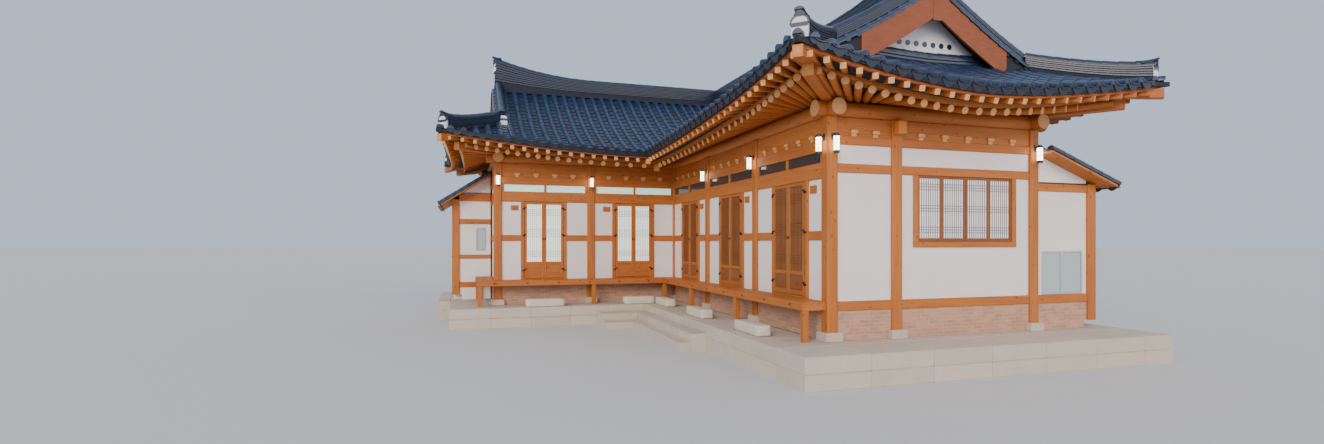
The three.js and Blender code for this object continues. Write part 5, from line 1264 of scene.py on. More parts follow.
def make_leaf(node, wall, u, side, width, lit):
    """A door leaf hung at u and reaching towards side: frame, board panel, lattice and paper."""
    shape = Shape(hash_of(node))
    a, b = sorted((u + side * 0.0055, u + side * (width - 0.0033)))
    front, back = 0.0125, 0.0565
    bar = partial(wall.bar, shape)
    for u0, u1 in ((a, a + STILE), (b - STILE, b)):
        bar(u0, u1, front, back, LEAF_LOW + 0.0005, LEAF_TOP - 0.0005, chamfer=0.004)
    inner = a + STILE, b - STILE
    low_rail, top_rail = (LEAF_LOW + 0.0005, PANEL_LOW), (LATTICE_TOP, LEAF_TOP - 0.0005)
    for z0, z1 in (low_rail, (PANEL_TOP, LATTICE_LOW), top_rail):
        bar(*inner, front + 0.001, back - 0.001, z0, z1, chamfer=0.004)
    panel = 0 if lit else 3
    bar(*inner, front + 0.013, back - 0.014, PANEL_LOW, PANEL_TOP, chamfer=0.001, paint=panel)
    raised = (a + STILE + 0.03, b - STILE - 0.03, front + 0.007, front + 0.014)
    bar(*raised, 0.69, 0.92, chamfer=0.004, paint=panel)
    bands = ((0.14, 4), (0.5, 5), (0.86, 4))
    lattice(shape, wall, *inner, LATTICE_LOW, LATTICE_TOP, front + 0.006, bands, paint=3)
    bar(*inner, front + 0.024, front + 0.028, LATTICE_LOW, LATTICE_TOP, chamfer=0.0005, paint=1)
    for z in HINGE_HEIGHTS:
        pin(shape, wall, u, z + 0.0008, z + 0.0335, side, 2)
    edge = u + side * (width - 0.034)
    plate_centre = wall.point(edge, front, 1.66)
    shape.rod(plate_centre, plate_centre + wall.out() * 0.003, 0.02, 14, paint=2)
    ring_pull(shape, plate_centre + wall.out() * 0.008 - UP * 0.02, wall, 2)
    # Lit leaves take paper that glows with painted light; the others take dim paper, painted shade.
    lit_finishes = ["pine", "lit paper", "black iron", "pale bars"]
    finishes = lit_finishes if lit else ["red pine", "dim paper", "black iron", "door pine"]
    shape.build(node + "_leaf", finishes, "door_timber", node, body=node)


def hash_of(name):
    """A seed that follows a piece's name."""
    return sum(ord(letter) * (k + 1) for k, letter in enumerate(name))


def ring_pull(shape, centre, wall, paint):
    along = UP.cross(wall.out())
    stations = []
    for a in spread(0, math.tau * 0.97, 14):
        radial = along * math.cos(a) + UP * math.sin(a)
        stations.append((centre + radial * 0.02, radial, wall.out()))
    shape.sweep(stations, ring(0.0025, 6), paint)


def make_doors():
    """Each wing's pairs of leaves, and the halves of their hinges that stay on the jambs."""
    jambs = Shape(21)
    wings = (
        ("right", RIGHT_DOORS, RIGHT_PAIR, ("near", "far"), False),
        ("left", LEFT_DOORS, LEFT_PAIR, ("left", "right"), True),
    )
    for wing, doors, pair, ends, lit in wings:
        for number, door in enumerate(doors, 1):
            for end, side in zip(ends, (1, -1)):
                u = door - side * pair / 2
                make_leaf(f"{wing}_door_{number}_{end}", WALLS[wing], u, side, pair / 2, lit)
                for z in HINGE_HEIGHTS:
                    pin(jambs, WALLS[wing], u, z - 0.0335, z - 0.0003, -side, 0)
    jambs.build("jamb hinge halves", ["black iron"], "dark_timber")


# Windows and walls


def make_gable_window():
    shape = Shape(31)
    wall = WALLS["gable"]
    piece = partial(wall.bar, shape)
    u0, u1 = WINDOW[0] + WINDOW_BAR + 0.0005, WINDOW[1] - WINDOW_BAR - 0.0005
    z0, z1 = WINDOW[2] + WINDOW_BAR + 0.0005, GABLE_HEAD[0] - 0.0005
    step = (u1 - u0) / 4
    bar = 0.045
    for k in range(4):
        a, b = u0 + k * step + 0.001, u0 + (k + 1) * step - 0.001
        front = 0.046 + 0.008 * (k % 2)
        sash(piece, bar, a, b, z0, z1, front, front + 0.04, 0.001, 0.02)
        bands = ((0.14, 3), (0.5, 3), (0.86, 3))
        lattice(shape, wall, a + bar, b - bar, z0 + bar + 0.02, z1 - bar, front + 0.005, bands, paint=2)
        sheet = a + bar, b - bar, front + 0.024, front + 0.028, z0 + bar, z1 - bar
        piece(*sheet, chamfer=0.0005, paint=1)
    finishes = ["door pine", "window paper", "grey bars"]
    shape.build("gable window sashes", finishes, "dark_timber", "gable_window")


def sash(piece, wide, a, b, z0, z1, front, back, inset=0.0, foot=0.0):
    """Two stiles with a rail between them above and below; foot is the lower rail's extra height."""
    for v0, v1 in ((a, a + wide), (b - wide, b)):
        piece(v0, v1, front, back, z0, z1, chamfer=0.003)
    for w0, w1 in ((z0, z0 + wide + foot), (z1 - wide, z1)):
        piece(a + wide, b - wide, front + inset, back - inset, w0, w1, chamfer=0.003)


def aluminium_window(node, wall, u0, u1, z0, z1, count):
    shape = Shape(33)
    piece = partial(wall.bar, shape)
    bar, front = 0.035, 0.052
    step = (u1 - u0) / count
    for k in range(count):
        a, b = u0 + k * step + 0.001, u0 + (k + 1) * step - 0.001
        sash(piece, bar, a, b, z0, z1, front, front + 0.045)
        piece(a + bar, b - bar, front + 0.02, front + 0.026, z0, z1, paint=1)
    shape.build(node + "_sashes", ["aluminium", "pane glass"], "glass", node)


def make_windows():
    make_gable_window()
    aluminium_window("right_lean_to_window", WALLS["gable"], 4.7205, 5.7995, 0.5335, 1.3895, 2)
    aluminium_window("left_lean_to_window", WALLS["left_lean_front"], -5.6795, -5.3805, 1.3005, 1.9995, 1)
    # The left transoms glow with painted light; the right ones are painted near black as painted shade.
    dress("lit pane", "transom_panes_left")
    dress("dark pane", "transom_panes_right")


def make_walls():
    fields = ["courtyard_wall_" + end for end in ("1", "2", "3", "corner", "5", "6", "over")]
    fields += ["gable_wall", "rear_wall", "right_lean_to_wall", "left_lean_to_wall"]
    dress("wall plaster", *fields)
    dress("brickwork", "brick_base")
    dress("floor boards", "floor")
    shape = Shape(35)
    for wall, places, pair in (("right", RIGHT_DOORS, RIGHT_PAIR), ("left", LEFT_DOORS, LEFT_PAIR)):
        for door in places:
            u = door - (pair / 2 + JAMB + 0.17)
            bar = partial(WALLS[wall].bar, shape)
            bar(u - 0.1, u + 0.1, 0.03, 0.056, 2.44, 2.58, chamfer=0.006)
            bar(u - 0.075, u + 0.075, 0.026, 0.031, 2.465, 2.555, chamfer=0.002)
    shape.build("bare name boards", ["pine"], "timber")


def floor_boards(name, light, dark):
    """Boards seen only through the open doors: joints and grain over the object's own place."""
    p = Paint(name)
    x, y, _ = p.place()
    board = p.math("FLOOR", x / 0.18)
    grain = p.noise(p.vector(x * 30, y * 1.5, board * 7), 1.0, 4.0)
    gap = p.math("PINGPONG", x, 0.09) < 0.002
    tone = p.math("FRACT", board * 0.377)
    colour = p.blend(p.clamp(grain * 0.8 + tone * 0.3 - 0.1), dark, light)
    colour = p.blend(gap, colour, rgb(0.02, 0.01, 0.005))
    return p.finish(base_color=colour, roughness=0.4)


# Rafters

FLY = 0.095
BOARD = 0.02


def corner_beam(shape, line, tier, start, end, width, low, high):
    """A beam under a corner. low and high count from the rafters' underside, outer end first."""
    p, q = (line["outer"].lerp(line["inner"], share) for share in (start, end))
    across = (q - p).normalized().cross(UP)
    marks = []
    for spot, share, k in ((p, start, 0), (q, end, 1)):
        level = tier_height(line, tier, share) + (low[k] + high[k]) / 2 + FOOT
        marks.append((Vector((spot.x, spot.y, level)), across * width, high[k] - low[k]))
    shape.band(marks, 0.06, end=1)


def rafter_boards(shape, side, tier, start, end, rest):
    """Boards over one tier of rafters, from corner to corner."""
    first, last = rafter_reach(side)
    rows = []
    for s in spread(first, last, round((last - first) / 0.4)):
        line = rafter_line(side, s)
        row = []
        for share in spread(start, end, 3):
            spot = line["outer"].lerp(line["inner"], share)
            low = tier_height(line, tier, share) + rest + FOOT
            row.append((spot.x, spot.y, low + BOARD, low))
        rows.append(row)
    shape.sheet(rows, paint=2)


def squares(spots):
    """The level direction square to the path at each of its points."""
    last = len(spots) - 1
    runs = [spots[min(k + 1, last)] - spots[max(k - 1, 0)] for k in range(last + 1)]
    return [run.cross(UP).normalized() for run in runs]


def eave_strip(shape, side, share, low, high, thick, paint):
    """A strip along the eave; low and high are (tier, height over its rafters' underside)."""
    first = -0.05 if side.ends[0] == "hip" else 0.0
    last = side.length + (0.05 if side.ends[1] == "hip" else 0.1)
    spots, heights = [], []
    for s in spread(first, last, round((last - first) / 0.35)):
        line = rafter_line(side, s)
        foot, head = (tier_height(line, tier, share) + more for tier, more in (low, high))
        spots.append(line_point(line, share, (foot + head) / 2))
        heights.append(head - foot)
    marks = [(spot, across * thick, high) for spot, across, high in zip(spots, squares(spots), heights)]
    shape.band(marks, 0.08, paint)


def make_rafters():
    spacing, radius = sizes().rafter_spacing, sizes().log_radius
    tiers = (("log", "round rafters", "lower_rafters"), ("fly", "flying rafters", "flying_rafters"))
    for tier, name, node in tiers:
        shape = Shape(41 if tier == "log" else 43)
        for side in SIDES.values():
            for s in rafter_stations(side, spacing):
                line = rafter_line(side, s)
                if tier == "log":
                    p = line_point(line, LOWER_AT, line["log"][0] + radius + 0.004)
                    q = line_point(line, 1.0, line["log"][1] + radius + 0.004)
                    shape.rod(p, q, radius, 12, end=1, taper=0.94)
                else:
                    p = line_point(line, 0.0, line["fly"][0] + FLY / 2)
                    q = line_point(line, TAIL_AT, line["fly"][1] + FLY / 2)
                    shape.member(p, q, FLY, FLY, 0.008, end=1)
            if tier == "log":
                rafter_boards(shape, side, tier, LOWER_AT, 1.0, radius * 2 - 0.002)
                foot = ("log", radius * 2 - 0.004)
                eave_strip(shape, side, LOWER_AT + 0.014, foot, ("fly", 0.012), 0.045, 0)
            else:
                rafter_boards(shape, side, tier, 0.012, TAIL_AT, FLY - 0.001)
                eave_strip(shape, side, 0.014, ("fly", FLY), ("fly", FLY + 0.05), 0.05, 3)
                eave_strip(shape, side, 0.004, ("fly", FLY + 0.05), ("fly", FLY + 0.115), 0.03, 3)
        corners = [("court", 0), ("front", 0), ("back", 0), ("back", 1), ("rear", 0), ("court", 1)]
        for key, turn in corners:
            side = SIDES[key]
            valley = side.ends[turn] == "valley"
            past = VALLEY_PAST if valley else HIP_PAST
            line = rafter_line(side, side.length + past if turn else -past)
            extra = -0.5 if valley else 1
            if tier == "log":
                start = LOWER_AT - 0.03 * extra
                corner_beam(shape, line, tier, start, 1.02, 0.18, (-0.07, -0.04), (0.13, 0.149))
            else:
                start = -0.03 * extra
                corner_beam(shape, line, tier, start, 0.575, 0.16, (-0.06, 0.008), (0.12, 0.10))
        shape.build(name, [*TIMBER, "rafter boards", "eave strip"], "timber", node, smooth_under=35)


# Roof tiles


def row_places(side, shift):
    """Places of the tile rows along an eave; shift is the share of a step before the first."""
    step = side.length / round(side.length / sizes().row_spacing)
    last = side.length if side.ends[1] == "hip" else side.length + HALF_SPAN - 0.12
    first = 0.02 if side.ends[0] == "hip" else 0.0
    return [s for s in (step * (k + shift) for k in range(80)) if first < s < last]


def row_path(side, s, lift, back=0.10):
    start, end = side.span(s)
    start += 0.02
    end -= back
    if end - start < 0.16:
        return None
    return [side.point(s, d, lift) for d in spread(start, end, 7)]


def corner_paths(lift):
    """A short diagonal row over each outer corner, out past its hip ridge's end."""
    paths = []
    for key, turn in (("court", 0), ("front", 0), ("back", 0), ("back", 1), ("rear", 0)):
        side = SIDES[key]
        marks = [(side.length - v if turn else v, v) for v in (-0.115, 0.08, 0.3)]
        paths.append([side.point(s, v, lift) for s, v in marks])
    return paths


def valley_path():
    court = SIDES["court"]
    lift = -0.05
    return [court.point(court.length + d, d + 0.02, lift) for d in spread(0.03, HALF_SPAN - 0.15, 8)]


def make_tiles():
    bed = Shape(47)
    covers, pans = [], []
    for side in SIDES.values():
        slope_bed(bed, side, slope_places(side))
        covers += [row_path(side, s, -0.045) for s in row_places(side, 0.5)]
        pans += [row_path(side, s, -0.068) for s in row_places(side, 0.0)]
    covers = [path for path in covers if path]
    pans = [path for path in pans if path]
    # Its near-black finish is painted shade between the tiles.
    bed.build("roof bed", ["roof bed"], "roof_tile", "tiled_roof")
    pans.append(valley_path())
    covers += corner_paths(-0.035)
    eaves = [path for path in covers if starts_at_eave(path)]
    eave_pans = [path for path in pans if starts_at_eave(path)]
    lay_tiles("", covers, pans, eaves, eave_pans, 3)


def lay_tiles(prefix, covers, pans, eaves, eave_pans, first_seed):
    """A roof's four kinds of tile: covers and pans along their rows, discs and drips at the eave."""
    work = [
        # Cover tiles take the lighter clay, a painted sheen.
        ("cover tiles", covers, cover_tile(), "sky-lit clay", False),
        ("pan tiles", pans, pan_tile(), "smoked clay", False),
        # The eave tiles take the darker clay, painted shade.
        ("eave discs", eaves, end_disc(), "sooty clay", True),
        ("drip tiles", eave_pans, drip_tile(), "sooty clay", True),
    ]
    step = sizes().tile_step
    for seed, (name, paths, tile, clay, only_first) in enumerate(work, first_seed):
        lay(prefix + name, paths, tile, step, clay, only_first, seed, "roof_tile")


HIGHEST_EAVE = 4.80
VALLEY_X, VALLEY_Y = (-1.3, 4.0), (6.95, 13.0)


def starts_at_eave(path):
    """Rows that start in the valley have no end tiles."""
    return path[0].z < HIGHEST_EAVE + FOOT and not in_valley(path[0])


def in_valley(spot):
    return VALLEY_X[0] < spot.x < VALLEY_X[1] and VALLEY_Y[0] < spot.y < VALLEY_Y[1]


# Ridges

RIDGE_X = DEPTH / 2
RIDGE_Y = SIDE_Y
RIDGE_TOP, RIDGE_SWEEP = 6.78, 0.475  # its level run, and how far its outer end sweeps up
HIP_OVER, HIP_UNDER = 0.30, 0.08  # how far a hip or verge ridge stands over the slope, and sinks in
CAP = 0.085


def ridge_courses(shape, marks, width, courses):
    """Courses of flat tiles with thin mortar beds between them; marks hold (plan, top, low)."""
    sides = squares([plan for plan, _, _ in marks])
    stations_at = [(plan, across, top - CAP, low) for (plan, top, low), across in zip(marks, sides)]
    bottom_share = 0.34
    for number in range(courses + 1):
        if number == 0:
            share_low, share_high, wide, paint = 0.0, bottom_share, width - 0.04, 2
        else:
            each = (1 - bottom_share) / courses
            share_low = bottom_share + (number - 1) * each
            share_high = share_low + each * 0.72
            wide, paint = width - 0.012 * (number % 2), 0
        sweep_band(shape, stations_at, share_low, share_high, wide, paint)
        if number:
            sweep_band(shape, stations_at, share_high, share_low + each, width - 0.04, 2)


def sweep_band(shape, stations_at, share_low, share_high, wide, paint):
    marks = []
    for plan, across, top, low in stations_at:
        a, b = mix(low, top, share_low), mix(low, top, share_high)
        marks.append((Vector((plan.x, plan.y, (a + b) / 2 + FOOT)), across * wide, b - a))
    shape.band(marks, 0.03, paint)


def main_marks(start, end, count):
    marks = []
    length = (end - start).length
    for t in spread(0, 1, count):
        t = t * t * (2 - t)
        rise = RIDGE_SWEEP * max(1 - t * length / 3.2, 0) ** 2.2
        marks.append((start.lerp(end, t), RIDGE_TOP + rise, RIDGE_SURFACE - 0.12))
    return marks


def hip_marks(side, turn, inner, outer, count=7):
    marks = []
    for v in spread(inner, outer, count):
        s = side.length - v if turn else v
        top = side.top(s, v)
        lift = 0.06 * max(1 - (v - outer) / 0.6, 0) ** 2
        marks.append((side.plan(s, v), top + HIP_OVER + lift, top - HIP_UNDER))
    return marks


def verge_marks(side):
    marks = []
    for d in spread(HALF_SPAN - 0.1, OVERHANG - 0.04, 7):
        top = side.top(OVERHANG, d)
        marks.append((side.plan(OVERHANG + 0.13, d), top + HIP_OVER, top - HIP_UNDER))
    return marks


def apron_marks(side):
    """A low ridge along the foot of a gable wall."""
    depth, corner = 1.60, 1.72
    marks = []
    for s in spread(corner, side.length - corner, 6):
        top = side.top(s, depth)
        marks.append((side.plan(s, depth), top + 0.20, top - 0.06))
    return marks


def cap_path(marks):
    return [Vector((plan.x, plan.y, top - CAP - 0.004 + FOOT)) for plan, top, _ in marks]


def end_plug(shape, marks, radius):
    """A ridge's outer end: a round lime plug crossed by a dark band, and a tile tip that turns up."""
    (p, top, low), (q, _, _) = marks[-1], marks[-2]
    out = (p - q).normalized()
    across = out.cross(UP)
    high = top - CAP
    tall = min(high - low - 0.01, radius * 2.6)
    arch = arc(radius, spread(0, math.pi, 10))
    lime = [(x, y - radius) for x, y in arch] + [(-radius, -tall), (radius, -tall)]
    face = Vector((p.x, p.y, high + FOOT))
    shape.sweep([(face - out * 0.03, across, UP), (face + out * 0.034, across, UP)], lime, paint=1)
    rim = [(x * 1.18, y * 1.14 - radius) for x, y in arch]
    rim += [(x * 0.98, y * 0.98 - radius) for x, y in reversed(arch)]
    shape.sweep([(face - out * 0.02, across, UP), (face + out * 0.044, across, UP)], rim, paint=0)
    middle = face - UP * (radius * 1.1) + out * 0.03
    band = [(middle, across, UP), (middle + out * 0.016, across, UP)]
    shape.sweep(band, octagon(radius * 1.02, radius * 0.22, 0.004), paint=0)
    stations = []
    for t in spread(0, 1, 5):
        centre = face + out * mix(-0.20, 0.07, t) + UP * (0.02 + 0.065 * t**2.2)
        stations.append((centre, across * mix(1, 0.72, t), UP * mix(1, 0.5, t * t)))
    tip = [(x * 0.1, y * 0.07) for x, y in arc(1, spread(0, math.pi, 8))]
    shape.sweep(stations, tip + [(-0.08, -0.02), (0.08, -0.02)], paint=0)


def make_ridges():
    shape = Shape(53)
    court, front, back, rear = (SIDES[key] for key in ("court", "front", "back", "rear"))
    inner = OVERHANG + 0.06
    mains = [
        main_marks(Vector((RIDGE_X, 0.03, 0)), Vector((RIDGE_X, RIDGE_Y + 0.15, 0)), 16),
        main_marks(Vector((LEFT_X + 0.03, RIDGE_Y, 0)), Vector((RIDGE_X, RIDGE_Y, 0)), 14),
    ]
    hips = [hip_marks(side, 0, inner, -0.02) for side in (court, front, back, rear)]
    hips.append(hip_marks(back, 1, HALF_SPAN - 0.05, -0.02, 12))
    verges = [verge_marks(side) for side in (court, back, front, rear)]
    aprons = [apron_marks(SIDES["gable"]), apron_marks(SIDES["left_end"])]
    for group, width, courses in ((mains, 0.30, 8), (hips + verges, 0.23, 5), (aprons, 0.18, 2)):
        for marks in group:
            ridge_courses(shape, marks, width, courses)
    for marks in hips + verges:
        end_plug(shape, marks, 0.125)
    for marks in mains:
        end_plug(shape, list(reversed(marks)), 0.15)
    finishes = ["smoked clay", "lime", "ridge mortar"]
    shape.build("ridge courses", finishes, "ridge_tile", "ridges", smooth_under=35)
    paths = [cap_path(marks) for marks in mains + hips + verges + aprons]
    cap = cover_tile(CAP, 0.31, 0.008)
    lay("ridge caps", paths, cap, 0.28, "smoked clay", False, 9, "ridge_tile")


# Gables


def painted_board(name, colour):
    """Oil paint on planed boards, worn along a few fine lines."""
    p = Paint(name)
    x, y, z = p.place()
    lines = p.noise(p.vector((x + y) * 3, (x + y) * 3, z * 26), 1.0, 4.0)
    broad = p.noise(p.vector(x, y, z), 4.0, 2.0)
    shade = p.blend(p.clamp(lines * 1.5 - 0.35), colour, toned(colour, 0.62))
    shade = p.blend(p.clamp(broad * 0.5), shade, toned(colour, 1.35))
    return p.finish(base_color=shade, roughness=0.45 + lines * 0.2, normal=p.bump(lines, 0.2, 0.003))


def verge_tiles(shape, side):
    """Short cover tiles that look out of the verge, from the ridge down to the hip."""
    for d in spread(OVERHANG + 0.12, HALF_SPAN - 0.12, 9):
        spot = side.plan(OVERHANG - 0.035, d) + UP * (side.top(OVERHANG, d) - 0.03 + FOOT)
        shape.rod(spot, spot + side.along * 0.16, 0.07, 12)
        shape.rod(spot - side.along * 0.008, spot + side.along * 0.01, 0.052, 12)


BARGEBOARD = 0.50


def bargeboard(shape, sides):
    """Two wide boards that meet under the ridge, with an upright board over their joint."""
    for side in sides:
        marks = []
        for d in spread(HALF_SPAN + 0.02, 1.98, 6):
            middle = side.top(OVERHANG, d) - 0.06 - BARGEBOARD / 2
            centre = side.plan(OVERHANG - 0.0205, d) + UP * (middle + FOOT)
            marks.append((centre, side.along * 0.039, BARGEBOARD))
        shape.band(marks, 0.02)
    side = sides[0]
    top = side.top(OVERHANG, HALF_SPAN)
    spot = side.plan(OVERHANG - 0.05, HALF_SPAN)
    half = side.inward * 0.09
    low, high = UP * (top - 0.66 + FOOT), UP * (top - 0.02 + FOOT)
    shape.block(spot - half + low, spot + half + high + side.along * 0.012, 0.004)


def make_gables():
    dress("gable lime", "near_gable_wall", "left_gable_wall")
    for seed, end, keys in ((59, "near", ("court", "back")), (60, "left", ("front", "rear"))):
        boards = Shape(seed)
        bargeboard(boards, [SIDES[key] for key in keys])
        name = end + "_bargeboards"
        boards.build(name + "_painted", ["bargeboard paint"], "bargeboard_paint", name)
    shape = Shape(61)
    for key in ("court", "back", "front", "rear"):
        verge_tiles(shape, SIDES[key])
    for key in ("gable", "left_end"):
        side = SIDES[key]
        middle = side.length / 2
        for k in range(-3, 4):
            spot = side.plan(middle + 0.19 * k, 1.648) + UP * (5.30 + FOOT)
            shape.rod(spot, spot - side.inward * 0.014, 0.05, 16)
    shape.build("verge and gable tile ends", ["smoked clay"], "roof_tile", smooth_under=35)


# Lean-tos

RIGHT_PITCH = (4.6053, 3.27, 6.42, 2.61, -0.435, 5.935)
LEFT_PITCH = (END_WALL_X, 3.56, -6.80, 2.56, 9.865, 13.185)
LEAN_THICK = 0.12
LEAN_BEAM_TOP = 3.06


def pitch_point(pitch, t, y, lift):
    x0, z0, x1, z1 = pitch[:4]
    return Vector((mix(x0, x1, t), y, mix(z0, z1, t) + LEAN_THICK + lift + FOOT))


def make_lean_roof(name, node, pitch):
    shape = Shape(67)
    y0, y1 = pitch[4:]
    rows = []
    for y in (y0 + 0.03, y1 - 0.03):
        row = []
        for t in (0.0, 0.97):
            top = pitch_point(pitch, t, y, -0.075)
            row.append((top.x, top.y, top.z, top.z + 0.075 - LEAN_THICK))
        rows.append(row)
    shape.sheet(rows)
    count = round((y1 - y0) / sizes().row_spacing)
    step = (y1 - y0) / count
    ends = (1 - 0.09 / abs(pitch[2] - pitch[0]), 0.02)
    cover_rows = [y0 + 0.085, *(y0 + k * step for k in range(1, count)), y1 - 0.085]
    covers = [[pitch_point(pitch, t, y, -0.05) for t in ends] for y in cover_rows]
    pan_rows = [y0 + (k + 0.5) * step for k in range(count)]
    pans = [[pitch_point(pitch, t, y, -0.072) for t in ends] for y in pan_rows]
    shape.build(name + " bed", ["rafter boards"], "roof_tile", node)
    lay_tiles(name + " ", covers, pans, covers, pans, 0)


def lean_top(pitch, x):
    """Underside of the lean-to's roof at x."""
    return mix(pitch[1], pitch[3], (x - pitch[0]) / (pitch[2] - pitch[0]))


def make_lean_tos():
    make_lean_roof("right lean-to", "right_lean_to_roof", RIGHT_PITCH)
    make_lean_roof("left lean-to", "left_lean_to_roof", LEFT_PITCH)
    shape = Shape(71)
    start, x = RIGHT_PITCH[0], 6.0
    for y in (0.0, BAY, 2 * BAY):
        top = lean_top(RIGHT_PITCH, x + HALF) - 0.004
        WALLS["right_lean"].bar(shape, y - HALF, y + HALF, 0, POST, 0, top, chamfer=0.014, end=1)
    for low, high, back in ((2.56, 2.705, BEAM_BACK), (SILL_LOW, SILL_TOP, POST)):
        top = min(high, lean_top(RIGHT_PITCH, x) - 0.06)
        for wall in ("gable", "right_lean_rear"):
            WALLS[wall].bar(shape, start, x - HALF, BEAM_FACE, back, low, high, chamfer=0.007)
        WALLS["right_lean"].bar(shape, HALF, 2 * BAY - HALF, BEAM_FACE, back, low, top, chamfer=0.007)
    shape.build("right lean-to frame", TIMBER, "timber", "right_lean_to_frame")
    shape = Shape(73)
    corner = -6.26
    for y in (10.3, REAR_Y):
        top = lean_top(LEFT_PITCH, corner - HALF) - 0.004
        WALLS["left_lean"].bar(shape, y - HALF, y + HALF, 0, POST, 0, top, chamfer=0.014, end=1)
    for low, high in ((0.215, 0.37), (1.07, 1.19), (2.11, 2.26), (2.80, 3.00)):
        side_top = min(high, lean_top(LEFT_PITCH, corner - HALF + BEAM_FACE) - 0.004)
        for wall in ("left_lean_front", "rear"):
            if low < 2.5:
                WALLS[wall].bar(shape, corner + HALF, END_WALL_X, BEAM_FACE, BEAM_BACK, low, high)
            else:
                sloped_beam(shape, wall, corner + HALF, END_WALL_X, low)
        if side_top > low:
            WALLS["left_lean"].bar(shape, 10.3 + HALF, REAR_Y - HALF, BEAM_FACE, BEAM_BACK, low, side_top)
    shape.build("left lean-to frame", TIMBER, "timber", "left_lean_to_frame")


def sloped_beam(shape, wall, u0, u1, low):
    """The highest beam of the left lean-to's walls, cut to the slope of its roof."""
    depth = (BEAM_FACE + BEAM_BACK) / 2
    across = WALLS[wall].out() * (BEAM_BACK - BEAM_FACE)
    marks = []
    for u in (u0, u1):
        top = min(LEAN_BEAM_TOP, lean_top(LEFT_PITCH, u) - 0.004)
        marks.append((WALLS[wall].point(u, depth, (low + top) / 2), across, top - low))
    shape.band(marks, 0.03)


# Lamps

LAMPS = {
    "lamp_near_post_court": ("right", 0.0),
    "lamp_second_post": ("right", BAY),
    "lamp_third_post": ("right", 2 * BAY),
    "lamp_near_post_gable": ("gable", 0.0),
    "lamp_gable_far_post": ("gable", DEPTH),
    "lamp_left_wing_middle": ("left", -LEFT_BAY),
    "lamp_left_wing_end": ("left", LEFT_X),
}
LAMP_DEPTH = -0.11


def make_lamps():
    for node, (wall_name, u) in LAMPS.items():
        wall = WALLS[wall_name]
        shape = Shape(hash_of(node))
        heights = [
            (3.082, 3.10, 0.050, 1),  # low, high, radius and finish
            (3.10, 3.128, 0.0545, 1),
            (3.128, 3.37, 0.049, 0),
            (3.37, 3.405, 0.0545, 1),
            (3.405, 3.428, 0.036, 1),
        ]
        for low, high, radius, paint in heights:
            ends = wall.point(u, LAMP_DEPTH, low), wall.point(u, LAMP_DEPTH, high)
            shape.rod(*ends, radius, 24, paint=paint)
        for spot in ring(0.051, 4):
            low, high = (wall.point(u, LAMP_DEPTH, z) + Vector((*spot, 0)) for z in (3.12, 3.38))
            shape.rod(low, high, 0.0035, 6, paint=1)
        wall.bar(shape, u - 0.018, u + 0.018, -0.10, 0.0, 3.38, 3.40, chamfer=0.003, paint=1)
        wall.bar(shape, u - 0.03, u + 0.03, -0.012, 0.0, 3.32, 3.44, chamfer=0.003, paint=1)
        shape.build(node + "_body", ["lamp glass", "lamp cap"], "lamp_glass", node, smooth_under=35)


# Stage


def soft_sun(name, spot, aim, spread_angle, power, colour):
    data = bpy.data.lights.new(name, "SUN")
    data.angle = math.radians(spread_angle)
    data.energy = power
    data.color = colour
    light = show(name, data)
    light.location = spot
    light.rotation_euler = (Vector(aim) - Vector(spot)).to_track_quat("-Z", "Y").to_euler()


def make_stage():
    mesh = bpy.data.meshes.new("ground")
    half = 250
    corners = [(-half, -half, 0), (half, -half, 0), (half, half, 0), (-half, half, 0)]
    mesh.from_pydata(corners, [], [(0, 1, 2, 3)])
    mesh.materials.append(finish("pale ground"))
    ground = show("ground", mesh)
    world = bpy.data.worlds.new("soft daylight")
    world.use_nodes = True
    sky = world.node_tree.nodes["Background"]
    sky.inputs["Color"].default_value = rgb(0.70, 0.82, 1.0)
    sky.inputs["Strength"].default_value = 0.85
    bpy.context.scene.world = world
    soft_sun("key", (-16, -14, 12), (0, 4, 2), 30, 2.5, (1.0, 0.90, 0.78))
    soft_sun("fill", (10, -16, 6), (1, 2, 3), 50, 1.2, (1.0, 0.88, 0.78))
    data = bpy.data.cameras.new("camera")
    data.sensor_width = 36
    data.lens = 17.05
    data.shift_y = 0.0153
    camera = show("camera", data)
    camera.location = (-6.079, -9.489, 2.231)
    camera.rotation_euler = Vector((0.3038, 0.9527, 0)).to_track_quat("-Z", "Y").to_euler()
    bpy.context.scene.camera = camera


# Operators, panel and start


class HANOK_OT_stonework(bpy.types.Operator):
    """Lay the platform, its steps and plinth stones, and the step stones"""

    bl_idname = "hanok.stonework"
    bl_label = "Stonework"

    def execute(self, context):
        make_platform()
        make_step_stones()
        return {"FINISHED"}


class HANOK_OT_deck(bpy.types.Operator):
    """Build the porch deck with its beams and legs"""

    bl_idname = "hanok.deck"
    bl_label = "Porch deck"

    def execute(self, context):
        make_deck()
        return {"FINISHED"}


class HANOK_OT_frames(bpy.types.Operator):
    """Raise the posts, sills, beams, plates and purlins"""

    bl_idname = "hanok.frames"
    bl_label = "Timber frames"

    def execute(self, context):
        make_courtyard_frames()
        make_gable_frame()
        make_rear_frame()
        make_purlins()
        return {"FINISHED"}


class HANOK_OT_walls(bpy.types.Operator):
    """Plaster the walls, and give the brick base and floor their finishes"""

    bl_idname = "hanok.walls"
    bl_label = "Walls"

    def execute(self, context):
        make_walls()
        return {"FINISHED"}


class HANOK_OT_doors(bpy.types.Operator):
    """Hang the ten door leaves with their lattices, hinges and ring pulls"""

    bl_idname = "hanok.doors"
    bl_label = "Doors"

    def execute(self, context):
        make_doors()
        return {"FINISHED"}


class HANOK_OT_windows(bpy.types.Operator):
    """Fit the gable window, the lean-to windows and the transom panes"""

    bl_idname = "hanok.windows"
    bl_label = "Windows"

    def execute(self, context):
        make_windows()
        return {"FINISHED"}


class HANOK_OT_rafters(bpy.types.Operator):
    """Lay both tiers of rafters with their corner beams, boards and eave strips"""

    bl_idname = "hanok.rafters"
    bl_label = "Rafters"

    def execute(self, context):
        make_rafters()
        return {"FINISHED"}


